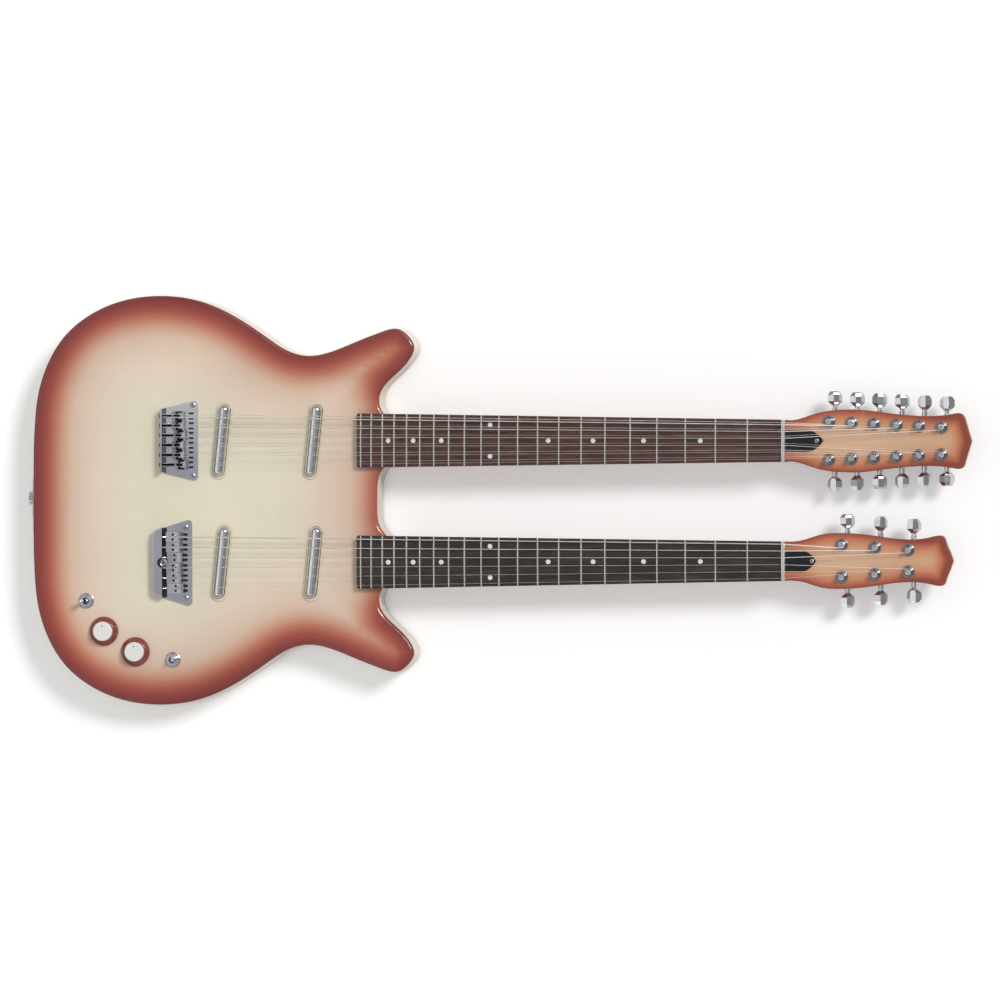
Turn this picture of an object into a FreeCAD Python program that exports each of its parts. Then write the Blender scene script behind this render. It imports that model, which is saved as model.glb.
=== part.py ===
import FreeCAD, Part
import math
import os
import Sketcher
from FreeCAD import Placement, Rotation, Vector

# Double-neck guitar lying on its back, in millimetres. +X runs along the necks
# towards the headstocks, +Y from the six-string neck to the twelve-string neck,
# and +Z out of the face. The origin is the middle of the underside of the
# whole object's box.

doc = FreeCAD.newDocument("DoubleNeckGuitar")

# Driving lengths
SIZES = {
    # Body boards and frame
    "body_length": 411.6,
    "body_half_width": 217.6,
    "back_thickness": 4.5,
    "frame_depth": 37.0,
    "top_thickness": 4.5,
    "edge_round": 3.4,
    "tape_thickness": 0.6,
    "tape_patch_width": 40.0,
    "tape_patch_thickness": 1.0,
    # Clearances
    "fixed_gap": 0.05,
    "shaft_gap": 0.08,
    "running_gap": 0.3,
    "overrun": 3.0,
    # Where the necks stand
    "nut_from_tail": 802.2,
    "twelve_side": 62.3,
    "six_side": 63.8,
    "scale_length": 635.0,
    # Fretboards, frets and nuts
    "board_rise": 8.0,
    "board_thickness": 6.0,
    "board_radius": 356.0,
    "board_overhang": 4.3,
    "board_corner": 3.0,
    "twelve_nut_half": 22.15,
    "twelve_end_half": 28.7,
    "six_nut_half": 20.7,
    "six_end_half": 28.2,
    "fret_crown": 1.1,
    "fret_end_inset": 0.4,
    "nut_thickness": 3.6,
    "nut_rise": 0.8,
    "nut_slot_spare": 0.15,
    "dot_radius": 2.5,
    "dot_depth": 1.5,
    "twin_dot_half": 16.5,
    # Necks and headstocks
    "neck_depth_at_nut": 21.5,
    "neck_depth_at_heel": 24.5,
    "neck_side_depth": 3.0,
    "heel_depth": 27.0,
    "heel_from_nut": 403.0,
    "heel_blend": 38.0,
    "tongue_reach": 28.5,
    "tongue_gap": 0.3,
    "head_blend": 26.0,
    "head_drop": 10.0,
    "head_thickness": 14.5,
    "head_round": 1.2,
    "twelve_head_length": 195.0,
    "twelve_head_half": 33.0,
    "six_head_length": 176.0,
    "six_head_half": 29.3,
    # Truss rods and their covers
    "rod_radius": 2.5,
    "rod_depth": 8.2,
    "rod_into_heel": 29.0,
    "rod_nut_radius": 3.6,
    "rod_nut_length": 9.0,
    "rod_pocket_length": 24.0,
    "rod_pocket_half": 4.6,
    "cover_thickness": 1.6,
    "twelve_cover_length": 39.6,
    "six_cover_length": 32.0,
    "cover_half": 11.2,
    "twelve_cover_screw_inset": 6.8,
    "six_cover_screw_inset": 4.2,
    "twelve_cover_straight": 23.0,
    "six_cover_straight": 16.3,
    # Neck screws, pickup screws and their countersinks
    "neck_screw_radius": 2.2,
    "neck_screw_head": 4.4,
    "neck_screw_reach": 39.0,
    "neck_screw_half_spread": 16.0,
    "neck_screw_rear": 471.0,
    "neck_screw_front": 428.0,
    "countersink_depth": 2.6,
    # Pickups
    "pickup_radius": 6.25,
    "pickup_length": 76.0,
    "pickup_wall": 0.7,
    "pickup_rise": 7.9,
    "ring_half_width": 8.7,
    "ring_half_length": 41.3,
    "ring_height": 1.3,
    "ring_wall": 1.4,
    "bridge_pickup_place": 597.1,
    "neck_pickup_place": 497.9,
    "pickup_pocket_depth": 16.0,
    "core_half_width": 3.0,
    "core_length": 60.0,
    "pickup_screw_radius": 1.4,
    "pickup_screw_head": 2.9,
    "pickup_screw_half_spread": 27.0,
    "wire_channel_radius": 4.0,
    # Bridges
    "plate_thickness": 2.0,
    "plate_corner": 4.0,
    "twelve_plate_front": 12.7,
    "twelve_plate_rear": 26.4,
    "twelve_plate_front_half": 43.2,
    "twelve_plate_rear_half": 33.6,
    "flange_thickness": 1.8,
    "flange_height": 10.0,
    "six_plate_front": 6.4,
    "six_plate_rear": 35.7,
    "six_plate_front_half": 46.6,
    "six_plate_rear_half": 28.6,
    "six_plate_shoulder": 33.2,
    "six_plate_shoulder_half": 34.5,
    "tail_bar_front": 25.0,
    "tail_bar_half": 37.5,
    "tail_bar_height": 7.5,
    "tail_bar_round": 1.5,
    "tail_slot_width": 4.0,
    "tail_slot_depth": 1.2,
    "plate_screw_head": 3.1,
    "plate_screw_radius": 1.7,
    "plate_screw_head_height": 1.4,
    "plate_screw_length": 24.0,
    "plate_screw_half_spread": 37.6,
    "twelve_plate_screw_place": 6.8,
    "six_plate_screw_place": -0.8,
    "plate_slot_inset": 5.0,
    "plate_slot_length": 5.0,
    "plate_slot_half": 1.3,
    "plate_slot_half_spread": 2.5,
    "tail_screw_head": 4.2,
    "tail_screw_place": 24.6,
    "tail_crater": 5.6,
    # Saddles, with their height screws, intonation screws and springs
    "twelve_bridge_pitch": 10.35,
    "six_bridge_pitch": 10.9,
    "saddle_gap": 0.6,
    "saddle_clear": 1.5,
    "twelve_saddle_length": 13.0,
    "twelve_saddle_crest": 3.0,
    "twelve_saddle_back": 2.0,
    "six_saddle_length": 16.5,
    "six_saddle_crest": 4.0,
    "six_saddle_back": 6.0,
    "saddle_travel": 3.0,
    "height_screw_radius": 1.25,
    "height_screw_inset": 2.6,
    "intonation_screw_radius": 1.2,
    "intonation_head_radius": 2.1,
    "intonation_head_height": 2.0,
    "intonation_level": 3.0,
    "intonation_grip": 4.0,
    "spring_wire_radius": 0.32,
    "saddle_front_fall": 1.6,
    "saddle_back_height": 3.0,
    "height_screw_setback": 4.2,
    "height_screw_length": 6.4,
    # Strings
    "string_radius": 0.585,
    "string_over_frets": 0.55,
    "saddle_over_nut": 2.6,
    "nut_pitch": 7.15,
    "nut_pair_gap": 2.2,
    "bridge_pair_gap": 3.1,
    "twelve_anchor_place": 24.3,
    "six_anchor_place": 24.7,
    "twelve_anchor_height": 7.0,
    "six_anchor_height": 4.6,
    "string_post_height": 6.5,
    # Tuners
    "post_radius": 3.0,
    "post_waist_radius": 2.3,
    "post_height": 10.2,
    "post_waist_low": 4.8,
    "post_waist_high": 8.2,
    "post_dome": 0.9,
    "string_hole_radius": 0.8,
    "bushing_radius": 4.0,
    "washer_radius": 6.8,
    "washer_thickness": 1.3,
    "dome_low_radius": 5.2,
    "dome_high_radius": 4.2,
    "dome_height": 2.4,
    "gear_radius": 2.7,
    "gear_thickness": 3.0,
    "worm_radius": 1.6,
    "worm_half_length": 4.0,
    "worm_groove": 0.3,
    "worm_level_below_head": 4.9,
    "case_depth": 9.5,
    "case_wall": 1.2,
    "case_side": 5.6,
    "case_inner_end": 5.6,
    "case_outer_end": 7.6,
    "lug_length": 5.4,
    "lug_half_width": 4.0,
    "lug_thickness": 1.2,
    "lug_screw_radius": 1.1,
    "lug_screw_head": 2.4,
    "lug_screw_head_height": 1.1,
    "lug_screw_length": 9.0,
    "sleeve_radius": 3.0,
    "sleeve_end": 15.4,
    "button_shaft_radius": 1.5,
    "button_start": 17.6,
    "button_shoulder": 22.0,
    "button_rim": 28.6,
    "button_end": 32.4,
    "button_half_width": 8.1,
    "button_half_depth": 4.5,
    "button_flat": 3.1,
    "button_neck_half": 3.7,
    "button_neck_depth": 2.9,
    "button_tip_half": 5.2,
    "button_tip_depth": 3.0,
    "collar_radius": 2.7,
    "collar_length": 1.6,
    "twelve_first_post": 45.6,
    "twelve_post_pitch": 23.55,
    "twelve_first_half": 19.8,
    "twelve_last_half": 14.3,
    "six_first_post": 58.9,
    "six_post_pitch": 34.9,
    "six_first_half": 16.7,
    "six_last_half": 11.4,
    # Stacked controls
    "knob_one_along": 77.8,
    "knob_one_from_side": 78.2,
    "knob_two_along": 112.0,
    "knob_two_from_side": 56.5,
    "skirt_radius": 15.5,
    "skirt_lift": 0.6,
    "skirt_ring": 1.8,
    "skirt_shoulder_radius": 12.6,
    "skirt_shoulder": 5.8,
    "skirt_top_radius": 11.8,
    "skirt_height": 6.6,
    "skirt_hollow_radius": 8.0,
    "skirt_hollow": 4.2,
    "cap_radius": 10.2,
    "cap_foot_radius": 10.5,
    "cap_round": 0.8,
    "cap_height": 11.4,
    "cap_lift": 0.4,
    "cap_dot_radius": 0.75,
    "cap_dot_depth": 0.4,
    "cap_dot_place": 5.6,
    "inner_shaft_radius": 1.6,
    "outer_shaft_radius": 3.0,
    "shaft_depth": 12.0,
    "pot_radius": 12.0,
    "pot_depth": 17.0,
    "pot_bushing_radius": 4.75,
    "pot_bushing_height": 3.4,
    "pot_nut_radius": 6.6,
    "pot_nut_height": 2.0,
    # Toggle switches
    "switch_one_along": 58.3,
    "switch_one_from_side": 110.5,
    "switch_two_along": 152.3,
    "switch_two_from_side": 48.0,
    "switch_bushing_radius": 5.4,
    "switch_bushing_height": 4.2,
    "switch_bore_radius": 3.6,
    "switch_nut_radius": 7.2,
    "switch_nut_height": 2.2,
    "switch_body_half": 6.6,
    "switch_body_depth": 18.0,
    "lever_ball_radius": 3.3,
    "lever_low_radius": 1.4,
    "lever_high_radius": 2.7,
    "lever_length": 14.0,
    "lever_stub": 4.0,
    # Output jack and strap button
    "jack_along": 137.2,
    "jack_level": 23.0,
    "jack_bore_radius": 3.2,
    "jack_block_half": 16.0,
    "jack_sleeve_radius": 4.7,
    "jack_length": 21.0,
    "jack_cup_radius": 10.5,
    "jack_cup_wall": 1.0,
    "jack_cup_depth": 3.5,
    "jack_nut_radius": 7.0,
    "jack_nut_height": 1.8,
    "strap_reach": 9.0,
    "strap_disc_radius": 7.1,
    "strap_disc_thickness": 4.4,
    "strap_stem_radius": 3.6,
    "strap_level": 23.0,
    "strap_side": 2.5,
    "strap_screw_radius": 1.8,
    "strap_screw_length": 18.0,
}

# Driving angles in degrees
ANGLES = {
    "twelve_lean": -0.12,
    "six_lean": 0.22,
    "pickup_tilt": -5.7,
    "lever_rest_tilt": 15.0,
    "switch_one_heading": 190.0,
    "switch_two_heading": 36.0,
}

sheet = doc.addObject("Spreadsheet::Sheet", "Sizes")
for row, (alias, number) in enumerate({**SIZES, **ANGLES}.items(), start=1):
    sheet.set(f"A{row}", alias)
    sheet.set(f"B{row}", str(number))
    sheet.setAlias(f"B{row}", alias)
doc.recompute()


class Size:
    """A length that carries its number and the sheet formula that gives it."""

    def __init__(self, number, formula):
        self.number = float(number)
        self.formula = formula

    def __float__(self):
        return self.number

    def __add__(self, other):
        return Size(self.number + float(other), f"({self.formula} + {formula_of(other)})")

    def __sub__(self, other):
        return Size(self.number - float(other), f"({self.formula} - {formula_of(other)})")

    def __mul__(self, other):
        return Size(self.number * float(other), f"({self.formula} * {formula_of(other)})")

    def __truediv__(self, other):
        return Size(self.number / float(other), f"({self.formula} / {formula_of(other)})")

    def __neg__(self):
        return Size(-self.number, f"(0 - {self.formula})")

    def __rsub__(self, other):
        return Size(float(other) - self.number, f"({formula_of(other)} - {self.formula})")

    def __rtruediv__(self, other):
        return Size(float(other) / self.number, f"({formula_of(other)} / {self.formula})")

    __radd__ = __add__
    __rmul__ = __mul__


def formula_of(length):
    """The sheet formula of a length, or a plain number as text."""
    return length.formula if isinstance(length, Size) else f"({length})"


class Sheet:
    """Every sheet value by its own name."""

    def __getattr__(self, alias):
        return Size(sheet.get(alias), f"Sizes.{alias}")


size = Sheet()

# Levels above the surface that the back lies on
frame_low = size.back_thickness
frame_high = frame_low + size.frame_depth
deck = frame_high + size.top_thickness
board_top = deck + size.board_rise
board_under = board_top - size.board_thickness
head_face = board_top - size.head_drop
head_under = head_face - size.head_thickness
plate_top = deck + size.plate_thickness
worm_level = head_under - size.worm_level_below_head
worm_offset = size.gear_radius + size.worm_radius + size.running_gap
nut_seat = board_top + size.fret_crown + size.string_over_frets
rod_level = board_under - size.rod_depth
rod_reach = size.heel_from_nut + size.rod_into_heel

# Places along the guitar
overall = size.strap_reach + size.nut_from_tail + size.nut_thickness + size.twelve_head_length
tail = size.strap_reach - overall / 2
nut_place = tail + size.nut_from_tail

FRETS = 21
SINGLE_DOTS = (3, 5, 7, 9, 15, 17, 19)
TWIN_DOT = 12
COURSES = 6
WORM_GROOVES = 4
SPRING_TURNS = 5
POINTS_PER_TURN = 40

# Shares of the body's length from the tail, and of its half width from the middle
BODY_SHARES = [
    (0.0, 0.0), (0.0005, 0.207), (0.0034, 0.368), (0.0121, 0.515), (0.0362, 0.662),
    (0.0843, 0.808), (0.1482, 0.907), (0.2264, 0.972), (0.3333, 1.0), (0.4451, 0.970),
    (0.5374, 0.8915), (0.6152, 0.795), (0.6686, 0.7307), (0.7172, 0.705), (0.7731, 0.7183),
    (0.8423, 0.7675), (0.9116, 0.818), (0.959, 0.8327), (0.9832, 0.802), (1.0, 0.742),
    (0.9898, 0.6907), (0.9662, 0.637), (0.9349, 0.583), (0.914, 0.531), (0.9084, 0.489),
    (0.912, 0.450), (0.9225, 0.418), (0.9419, 0.372), (0.9492, 0.2895), (0.9419, 0.207),
    (0.9237, 0.163), (0.9101, 0.126), (0.9045, 0.083), (0.9036, 0.0),
]
CHAMBER_SHARES = [
    (0.0612, 0.423), (0.0709, 0.542), (0.1001, 0.671), (0.1511, 0.781), (0.2216, 0.855),
    (0.309, 0.882), (0.3965, 0.859), (0.4791, 0.790), (0.552, 0.6985), (0.6297, 0.6296),
    (0.7026, 0.593), (0.7707, 0.593), (0.8047, 0.5515), (0.7853, 0.501), (0.6395, 0.473),
    (0.4208, 0.446), (0.2021, 0.4136), (0.0855, 0.3906),
]

# Shares of a headstock's length from the nut, and of its half width
TWELVE_HEAD_SHARES = [
    (0.046, 0.667), (0.092, 0.733), (0.154, 0.858), (0.226, 0.952), (0.297, 0.991),
    (0.354, 1.0), (0.431, 0.979), (0.513, 0.915), (0.605, 0.848), (0.687, 0.806),
    (0.759, 0.791), (0.831, 0.806), (0.897, 0.858), (0.931, 0.885), (0.955, 0.827),
    (0.966, 0.691), (0.978, 0.436), (0.992, 0.170), (1.0, 0.0),
]
SIX_HEAD_SHARES = [
    (0.045, 0.703), (0.102, 0.751), (0.174, 0.887), (0.239, 0.980), (0.292, 1.0),
    (0.357, 0.997), (0.476, 0.942), (0.602, 0.833), (0.693, 0.771), (0.784, 0.771),
    (0.858, 0.836), (0.9125, 0.901), (0.943, 0.860), (0.957, 0.679), (0.981, 0.324),
    (1.0, 0.0),
]

# Shares of the pointed part of a truss rod cover, and of the cover's half width
COVER_SHARES = [(0.0, 1.0), (0.26, 0.93), (0.52, 0.74), (0.78, 0.42), (1.0, 0.0)]

# Thickness of each string as a share of the thickest, from the bass side
SIX_STRING_SHARES = [(1.0,), (0.78,), (0.565,), (0.37,), (0.28,), (0.215,)]
TWELVE_STRING_SHARES = [
    (0.46, 1.0), (0.31, 0.74), (0.22, 0.53), (0.17, 0.38), (0.30, 0.30), (0.215, 0.215),
]

# How far back each saddle stands, as a share of its travel, from the bass side
SADDLE_SHARES = (1.0, 0.9, 0.35, 0.85, 0.7, 0.0)

# How far each tuner button has been turned from flat, in degrees
TWELVE_BUTTON_TURNS = (24, 20, 14, 16, -22, -12, 18, -38, -24, 22, -26, -10)
SIX_BUTTON_TURNS = (22, 34, 26, -30, -34, 14)


class Neck:
    """One neck's own sizes. Its frame starts at the front of its nut."""

    def __init__(self, name, side, head_shares, posts, strings, turns):
        self.name = name
        self.side = side
        self.head_shares = head_shares
        self.posts = posts
        self.strings = strings
        self.turns = turns

    def __getattr__(self, alias):
        return getattr(size, f"{self.name}_{alias}")


twelve = Neck("twelve", size.twelve_side, TWELVE_HEAD_SHARES, 6, TWELVE_STRING_SHARES,
              TWELVE_BUTTON_TURNS)
six = Neck("six", -size.six_side, SIX_HEAD_SHARES, 3, SIX_STRING_SHARES, SIX_BUTTON_TURNS)
NECKS = (twelve, six)

# Document helpers

nodes = []


def node(piece, label):
    """Names a finished sub-part and keeps it for writing."""
    piece.Label = label
    nodes.append(piece)
    return piece


def bind(thing, path, length):
    """Ties one property of a thing to the sheet."""
    if isinstance(length, Size):
        thing.setExpression(path, length.formula)


def place(piece, along=0, across=0, up=0):
    """Ties where a piece stands to the sheet."""
    bind(piece, "Placement.Base.x", along)
    bind(piece, "Placement.Base.y", across)
    bind(piece, "Placement.Base.z", up)
    return piece


def turn_about(piece, axis, degrees):
    """Turns a piece about an axis through its own origin."""
    piece.Placement = Placement(Vector(0, 0, 0), Rotation(axis, degrees))
    return piece


def cylinder(name, radius, height, along=0, across=0, up=0, axis=None):
    """A round bar from its foot, along +Z or along another axis."""
    piece = doc.addObject("Part::Cylinder", name)
    bind(piece, "Radius", radius)
    bind(piece, "Height", height)
    if axis is not None:
        piece.Placement = Placement(Vector(0, 0, 0), Rotation(Vector(0, 0, 1), axis))
    return place(piece, along, across, up)


def cone(name, low_radius, high_radius, height, along=0, across=0, up=0):
    """A tapered bar standing on its foot."""
    piece = doc.addObject("Part::Cone", name)
    bind(piece, "Radius1", low_radius)
    bind(piece, "Radius2", high_radius)
    bind(piece, "Height", height)
    return place(piece, along, across, up)


def box(name, length, width, height, along=0, across=0, up=0):
    """A box from its lowest corner."""
    piece = doc.addObject("Part::Box", name)
    bind(piece, "Length", length)
    bind(piece, "Width", width)
    bind(piece, "Height", height)
    return place(piece, along, across, up)


def ball(name, radius, along=0, across=0, up=0):
    """A ball about its centre."""
    piece = doc.addObject("Part::Sphere", name)
    bind(piece, "Radius", radius)
    return place(piece, along, across, up)


def joined(name, *pieces):
    """Pieces made into one solid."""
    whole = doc.addObject("Part::MultiFuse", name)
    whole.Shapes = list(pieces)
    return whole


def without(name, base, *tools):
    """A piece with others cut away."""
    tool = tools[0] if len(tools) == 1 else joined(name + "_cutters", *tools)
    rest = doc.addObject("Part::Cut", name)
    rest.Base = base
    rest.Tool = tool
    return rest


def group(name, pieces):
    """Separate solids kept together under one placement."""
    whole = doc.addObject("Part::Compound", name)
    whole.Links = list(pieces)
    return whole


def feature(name, shape):
    """A piece whose shape comes from its own outline function."""
    piece = doc.addObject("Part::Feature", name)
    piece.Shape = shape
    return piece


def on_neck(piece, neck):
    """Moves a piece from a neck's own frame to its place on the guitar."""
    piece.Placement = Placement(Vector(0, 0, 0), Rotation(Vector(0, 0, 1), 1))
    bind(piece, "Placement.Rotation.Angle", neck.lean)
    return place(piece, nut_place, neck.side)


def neck_frame(neck):
    """The same move as a placement, for shapes worked out in code."""
    turn = Rotation(Vector(0, 0, 1), float(neck.lean))
    return Placement(Vector(nut_place, neck.side, 0), turn)


def moved(shape, placement):
    """A copy of a shape under a further placement."""
    copy = shape.copy()
    copy.Placement = placement.multiply(copy.Placement)
    return copy


def plane_of(body, role):
    """One of a body's own origin planes."""
    return next(item for item in body.Origin.OriginFeatures if item.Role == role)


def pin(sketch, index, kind, axis, length):
    """Holds one coordinate of one corner of a sketch."""
    if isinstance(length, Size) and float(length) != 0:
        held = Sketcher.Constraint(kind, -1, 1, index, 1, float(length))
        number = sketch.addConstraint(held)
        sketch.setExpression(f"Constraints[{number}]", length.formula)
    else:
        sketch.addConstraint(Sketcher.Constraint("PointOnObject", index, 1, axis))


def corner_sketch(body, name, role, corners, level=0):
    """A closed sketch of straight sides with every corner tied to the sheet."""
    sketch = body.newObject("Sketcher::SketchObject", name)
    sketch.AttachmentSupport = [(plane_of(body, role), "")]
    sketch.MapMode = "FlatFace"
    bind(sketch, "AttachmentOffset.Base.z", level)
    points = [Vector(across, up, 0) for across, up in corners]
    following = points[1:] + points[:1]
    sides = [Part.LineSegment(start, end) for start, end in zip(points, following)]
    sketch.addGeometry(sides)
    for index in range(len(corners)):
        next_index = (index + 1) % len(corners)
        sketch.addConstraint(Sketcher.Constraint("Coincident", index, 2, next_index, 1))
    for index, (across, up) in enumerate(corners):
        pin(sketch, index, "DistanceX", -2, across)
        pin(sketch, index, "DistanceY", -1, up)
    return sketch


def turned(name, corners):
    """A body turned about Z from corners given as radius and height."""
    body = doc.addObject("PartDesign::Body", name)
    sketch = corner_sketch(body, name + "_profile", "XZ_Plane", corners)
    turn = body.newObject("PartDesign::Revolution", name + "_turn")
    turn.Profile = sketch
    turn.ReferenceAxis = (sketch, ["V_Axis"])
    turn.Angle = 360
    body.Tip = turn
    return body


def padded(name, corners, thickness, level=0):
    """A body padded upwards from a plan outline at a level."""
    body = doc.addObject("PartDesign::Body", name)
    sketch = corner_sketch(body, name + "_plan", "XY_Plane", corners, level)
    pad = body.newObject("PartDesign::Pad", name + "_pad")
    pad.Profile = sketch
    bind(pad, "Length", thickness)
    body.Tip = pad
    return body


def near(number, length):
    """Whether a number is a length, to within the fixed clearance."""
    return abs(number - float(length)) < float(size.fixed_gap)


def upright(edge):
    """Whether an edge stands straight up."""
    return edge.BoundBox.XLength + edge.BoundBox.YLength < edge.BoundBox.ZLength / 1000


def rounded(body, name, radius, wanted):
    """Rounds the edges of a body that pass a test."""
    doc.recompute()
    last = body.Tip
    edges = [f"Edge{number}" for number, edge in enumerate(last.Shape.Edges, start=1)
             if wanted(edge)]
    fillet = body.newObject("PartDesign::Fillet", name)
    fillet.Base = (last, edges)
    bind(fillet, "Radius", radius)
    body.Tip = fillet
    return body


# Outlines

def body_points(shares):
    """Places on the body from shares of its length and half width."""
    return [
        Vector(tail + size.body_length * along, size.body_half_width * across, 0)
        for along, across in shares
    ]


def closed_curve(points):
    """A smooth closed curve through the points."""
    curve = Part.BSplineCurve()
    curve.interpolate(Points=points, PeriodicFlag=True)
    return curve


def smooth(points):
    """A smooth open curve through the points."""
    curve = Part.BSplineCurve()
    curve.interpolate(points)
    return curve


def body_curve(inset=0):
    """The body's outline, clockwise from the tail, moved inwards by an inset."""
    mirror = [(along, -across) for along, across in reversed(BODY_SHARES[1:-1])]
    points = body_points(BODY_SHARES + mirror)
    curve = closed_curve(points)
    if not inset:
        return curve
    inner = []
    for point in points:
        tangent = curve.tangent(curve.parameter(point))[0]
        inner.append(point + Vector(tangent.y, -tangent.x, 0) * float(inset))
    return closed_curve(inner)


def slab(curve, low, high):
    """A closed curve raised from one level to another."""
    face = Part.Face(Part.Wire(curve.toShape()))
    face.translate(Vector(0, 0, low))
    return face.extrude(Vector(0, 0, high - low))


def board_length():
    """From the front of the nut to the body end of a fretboard."""
    last_fret = size.scale_length * (1 - 2 ** (-FRETS / 12))
    return last_fret + size.board_overhang


def board_half(neck, along):
    """Half the width of a fretboard at a place along its neck."""
    widening = (neck.end_half - neck.nut_half) / board_length()
    return neck.nut_half - widening * along


def tapered(neck, rear, front, low, high, spare=0):
    """A block that follows the taper of a neck's sides."""
    rear_half = board_half(neck, rear) + spare
    front_half = board_half(neck, front) + spare
    corners = [
        Vector(rear, -rear_half, low), Vector(front, -front_half, low),
        Vector(front, front_half, low), Vector(rear, rear_half, low),
    ]
    face = Part.Face(Part.makePolygon(corners + corners[:1]))
    return face.extrude(Vector(0, 0, high - low))


def crown(rear, front, rise):
    """A long round bar whose top is a board's curved surface, raised a little."""
    radius = size.board_radius + rise
    foot = Vector(rear, 0, board_top - size.board_radius)
    return Part.makeCylinder(radius, front - rear, foot, Vector(1, 0, 0))


def crown_drop(across):
    """How far a board's curved surface falls below its middle."""
    return across * across / (size.board_radius * 2)


def stadium(half_width, half_length, low, high):
    """An upright block with round ends, long across the guitar."""
    reach = half_length - half_width
    middle = Part.makeBox(half_width * 2, reach * 2, high - low,
                          Vector(-half_width, -reach, low))
    ends = [
        Part.makeCylinder(half_width, high - low, Vector(0, end, low))
        for end in (reach, -reach)
    ]
    return middle.multiFuse(ends).removeSplitter()


def bar(radius, start, end):
    """A round bar between two points."""
    run = end - start
    return Part.makeCylinder(radius, run.Length, start, run)


def fret_place(number):
    """Where a fret stands along its neck."""
    return -(size.scale_length * (1 - 2 ** (-number / 12)))


# Places that several sub-parts share

def pickup_places():
    """Where each pickup stands, as placements on the guitar."""
    tilt = Rotation(Vector(0, 0, 1), float(size.pickup_tilt))
    return [
        neck_frame(neck).multiply(Placement(Vector(-along, 0, 0), tilt))
        for neck in NECKS
        for along in (size.bridge_pickup_place, size.neck_pickup_place)
    ]


def neck_screw_places(neck):
    """Where a neck's screws stand in its own frame."""
    return [
        (-along, size.neck_screw_half_spread * hand)
        for along in (size.neck_screw_rear, size.neck_screw_front)
        for hand in (1, -1)
    ]


def plate_screw_places(neck):
    """Where a bridge's corner screws stand in its neck's frame."""
    along = neck.plate_screw_place - size.scale_length
    return [(along, size.plate_screw_half_spread * hand) for hand in (1, -1)]


def post_places(neck):
    """Along, across and side of each tuner, nut end first, upper row first."""
    fall = (neck.first_half - neck.last_half) / (neck.posts - 1)
    places = []
    for hand in (1, -1):
        for index in range(neck.posts):
            along = size.nut_thickness + neck.first_post + neck.post_pitch * index
            across = (neck.first_half - fall * index) * hand
            places.append((along, across, hand))
    return places


KNOBS = {
    "one": (tail + size.knob_one_along, size.knob_one_from_side - size.body_half_width),
    "two": (tail + size.knob_two_along, size.knob_two_from_side - size.body_half_width),
}
SWITCHES = {
    "one": (tail + size.switch_one_along, size.switch_one_from_side - size.body_half_width),
    "two": (tail + size.switch_two_along, size.switch_two_from_side - size.body_half_width),
}
jack_place = tail + size.jack_along


def upright_hole(radius, along, across, low, high):
    """A round cutter standing on the guitar."""
    return Part.makeCylinder(radius, high - low, Vector(along, across, low))


def screw_cutters(neck):
    """Holes for a neck's screws, with their countersinks in the back."""
    cutters = []
    for along, across in neck_screw_places(neck):
        shank = upright_hole(size.neck_screw_radius + size.fixed_gap, along, across,
                             -size.overrun, size.neck_screw_reach + size.fixed_gap)
        sink = Part.makeCone(size.neck_screw_head + size.fixed_gap,
                             size.neck_screw_radius + size.fixed_gap,
                             size.countersink_depth, Vector(along, across, 0))
        cutters += [moved(shank, neck_frame(neck)), moved(sink, neck_frame(neck))]
    return cutters


def pickup_screw_cutters():
    """Holes for the height screws that come up to each pickup from the back."""
    cutters = []
    for placement in pickup_places():
        for hand in (1, -1):
            across = size.pickup_screw_half_spread * hand
            shank = upright_hole(size.pickup_screw_radius + size.fixed_gap, 0, across,
                                 -size.overrun, deck)
            sink = Part.makeCone(size.pickup_screw_head + size.fixed_gap,
                                 size.pickup_screw_radius + size.fixed_gap,
                                 size.countersink_depth, Vector(0, across, 0))
            cutters += [moved(shank, placement), moved(sink, placement)]
    return cutters


def bridge_screw_cutters():
    """Pilot holes under the bridge screws."""
    cutters = []
    radius = size.plate_screw_radius + size.fixed_gap
    low = plate_top - size.plate_screw_length - size.fixed_gap
    for neck in NECKS:
        places = plate_screw_places(neck)
        if neck is six:
            places = places + [(-(size.scale_length + size.tail_screw_place), 0)]
        for along, across in places:
            hole = upright_hole(radius, along, across, low, deck + size.overrun)
            cutters.append(moved(hole, neck_frame(neck)))
    return cutters


def neck_cutter(neck, low, high):
    """The pocket that a neck's heel and tongue drop into."""
    rear = -(board_length() + size.tongue_reach + size.fixed_gap)
    block = tapered(neck, rear, -size.heel_from_nut + size.overrun, low, high, size.fixed_gap)
    return moved(block, neck_frame(neck))


def neck_notch(neck, low, high):
    """The part of that pocket that the top board leaves open."""
    rear = -(board_length() + size.fixed_gap)
    block = tapered(neck, rear, -size.heel_from_nut + size.overrun, low, high, size.fixed_gap)
    return moved(block, neck_frame(neck))


# Body

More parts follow.
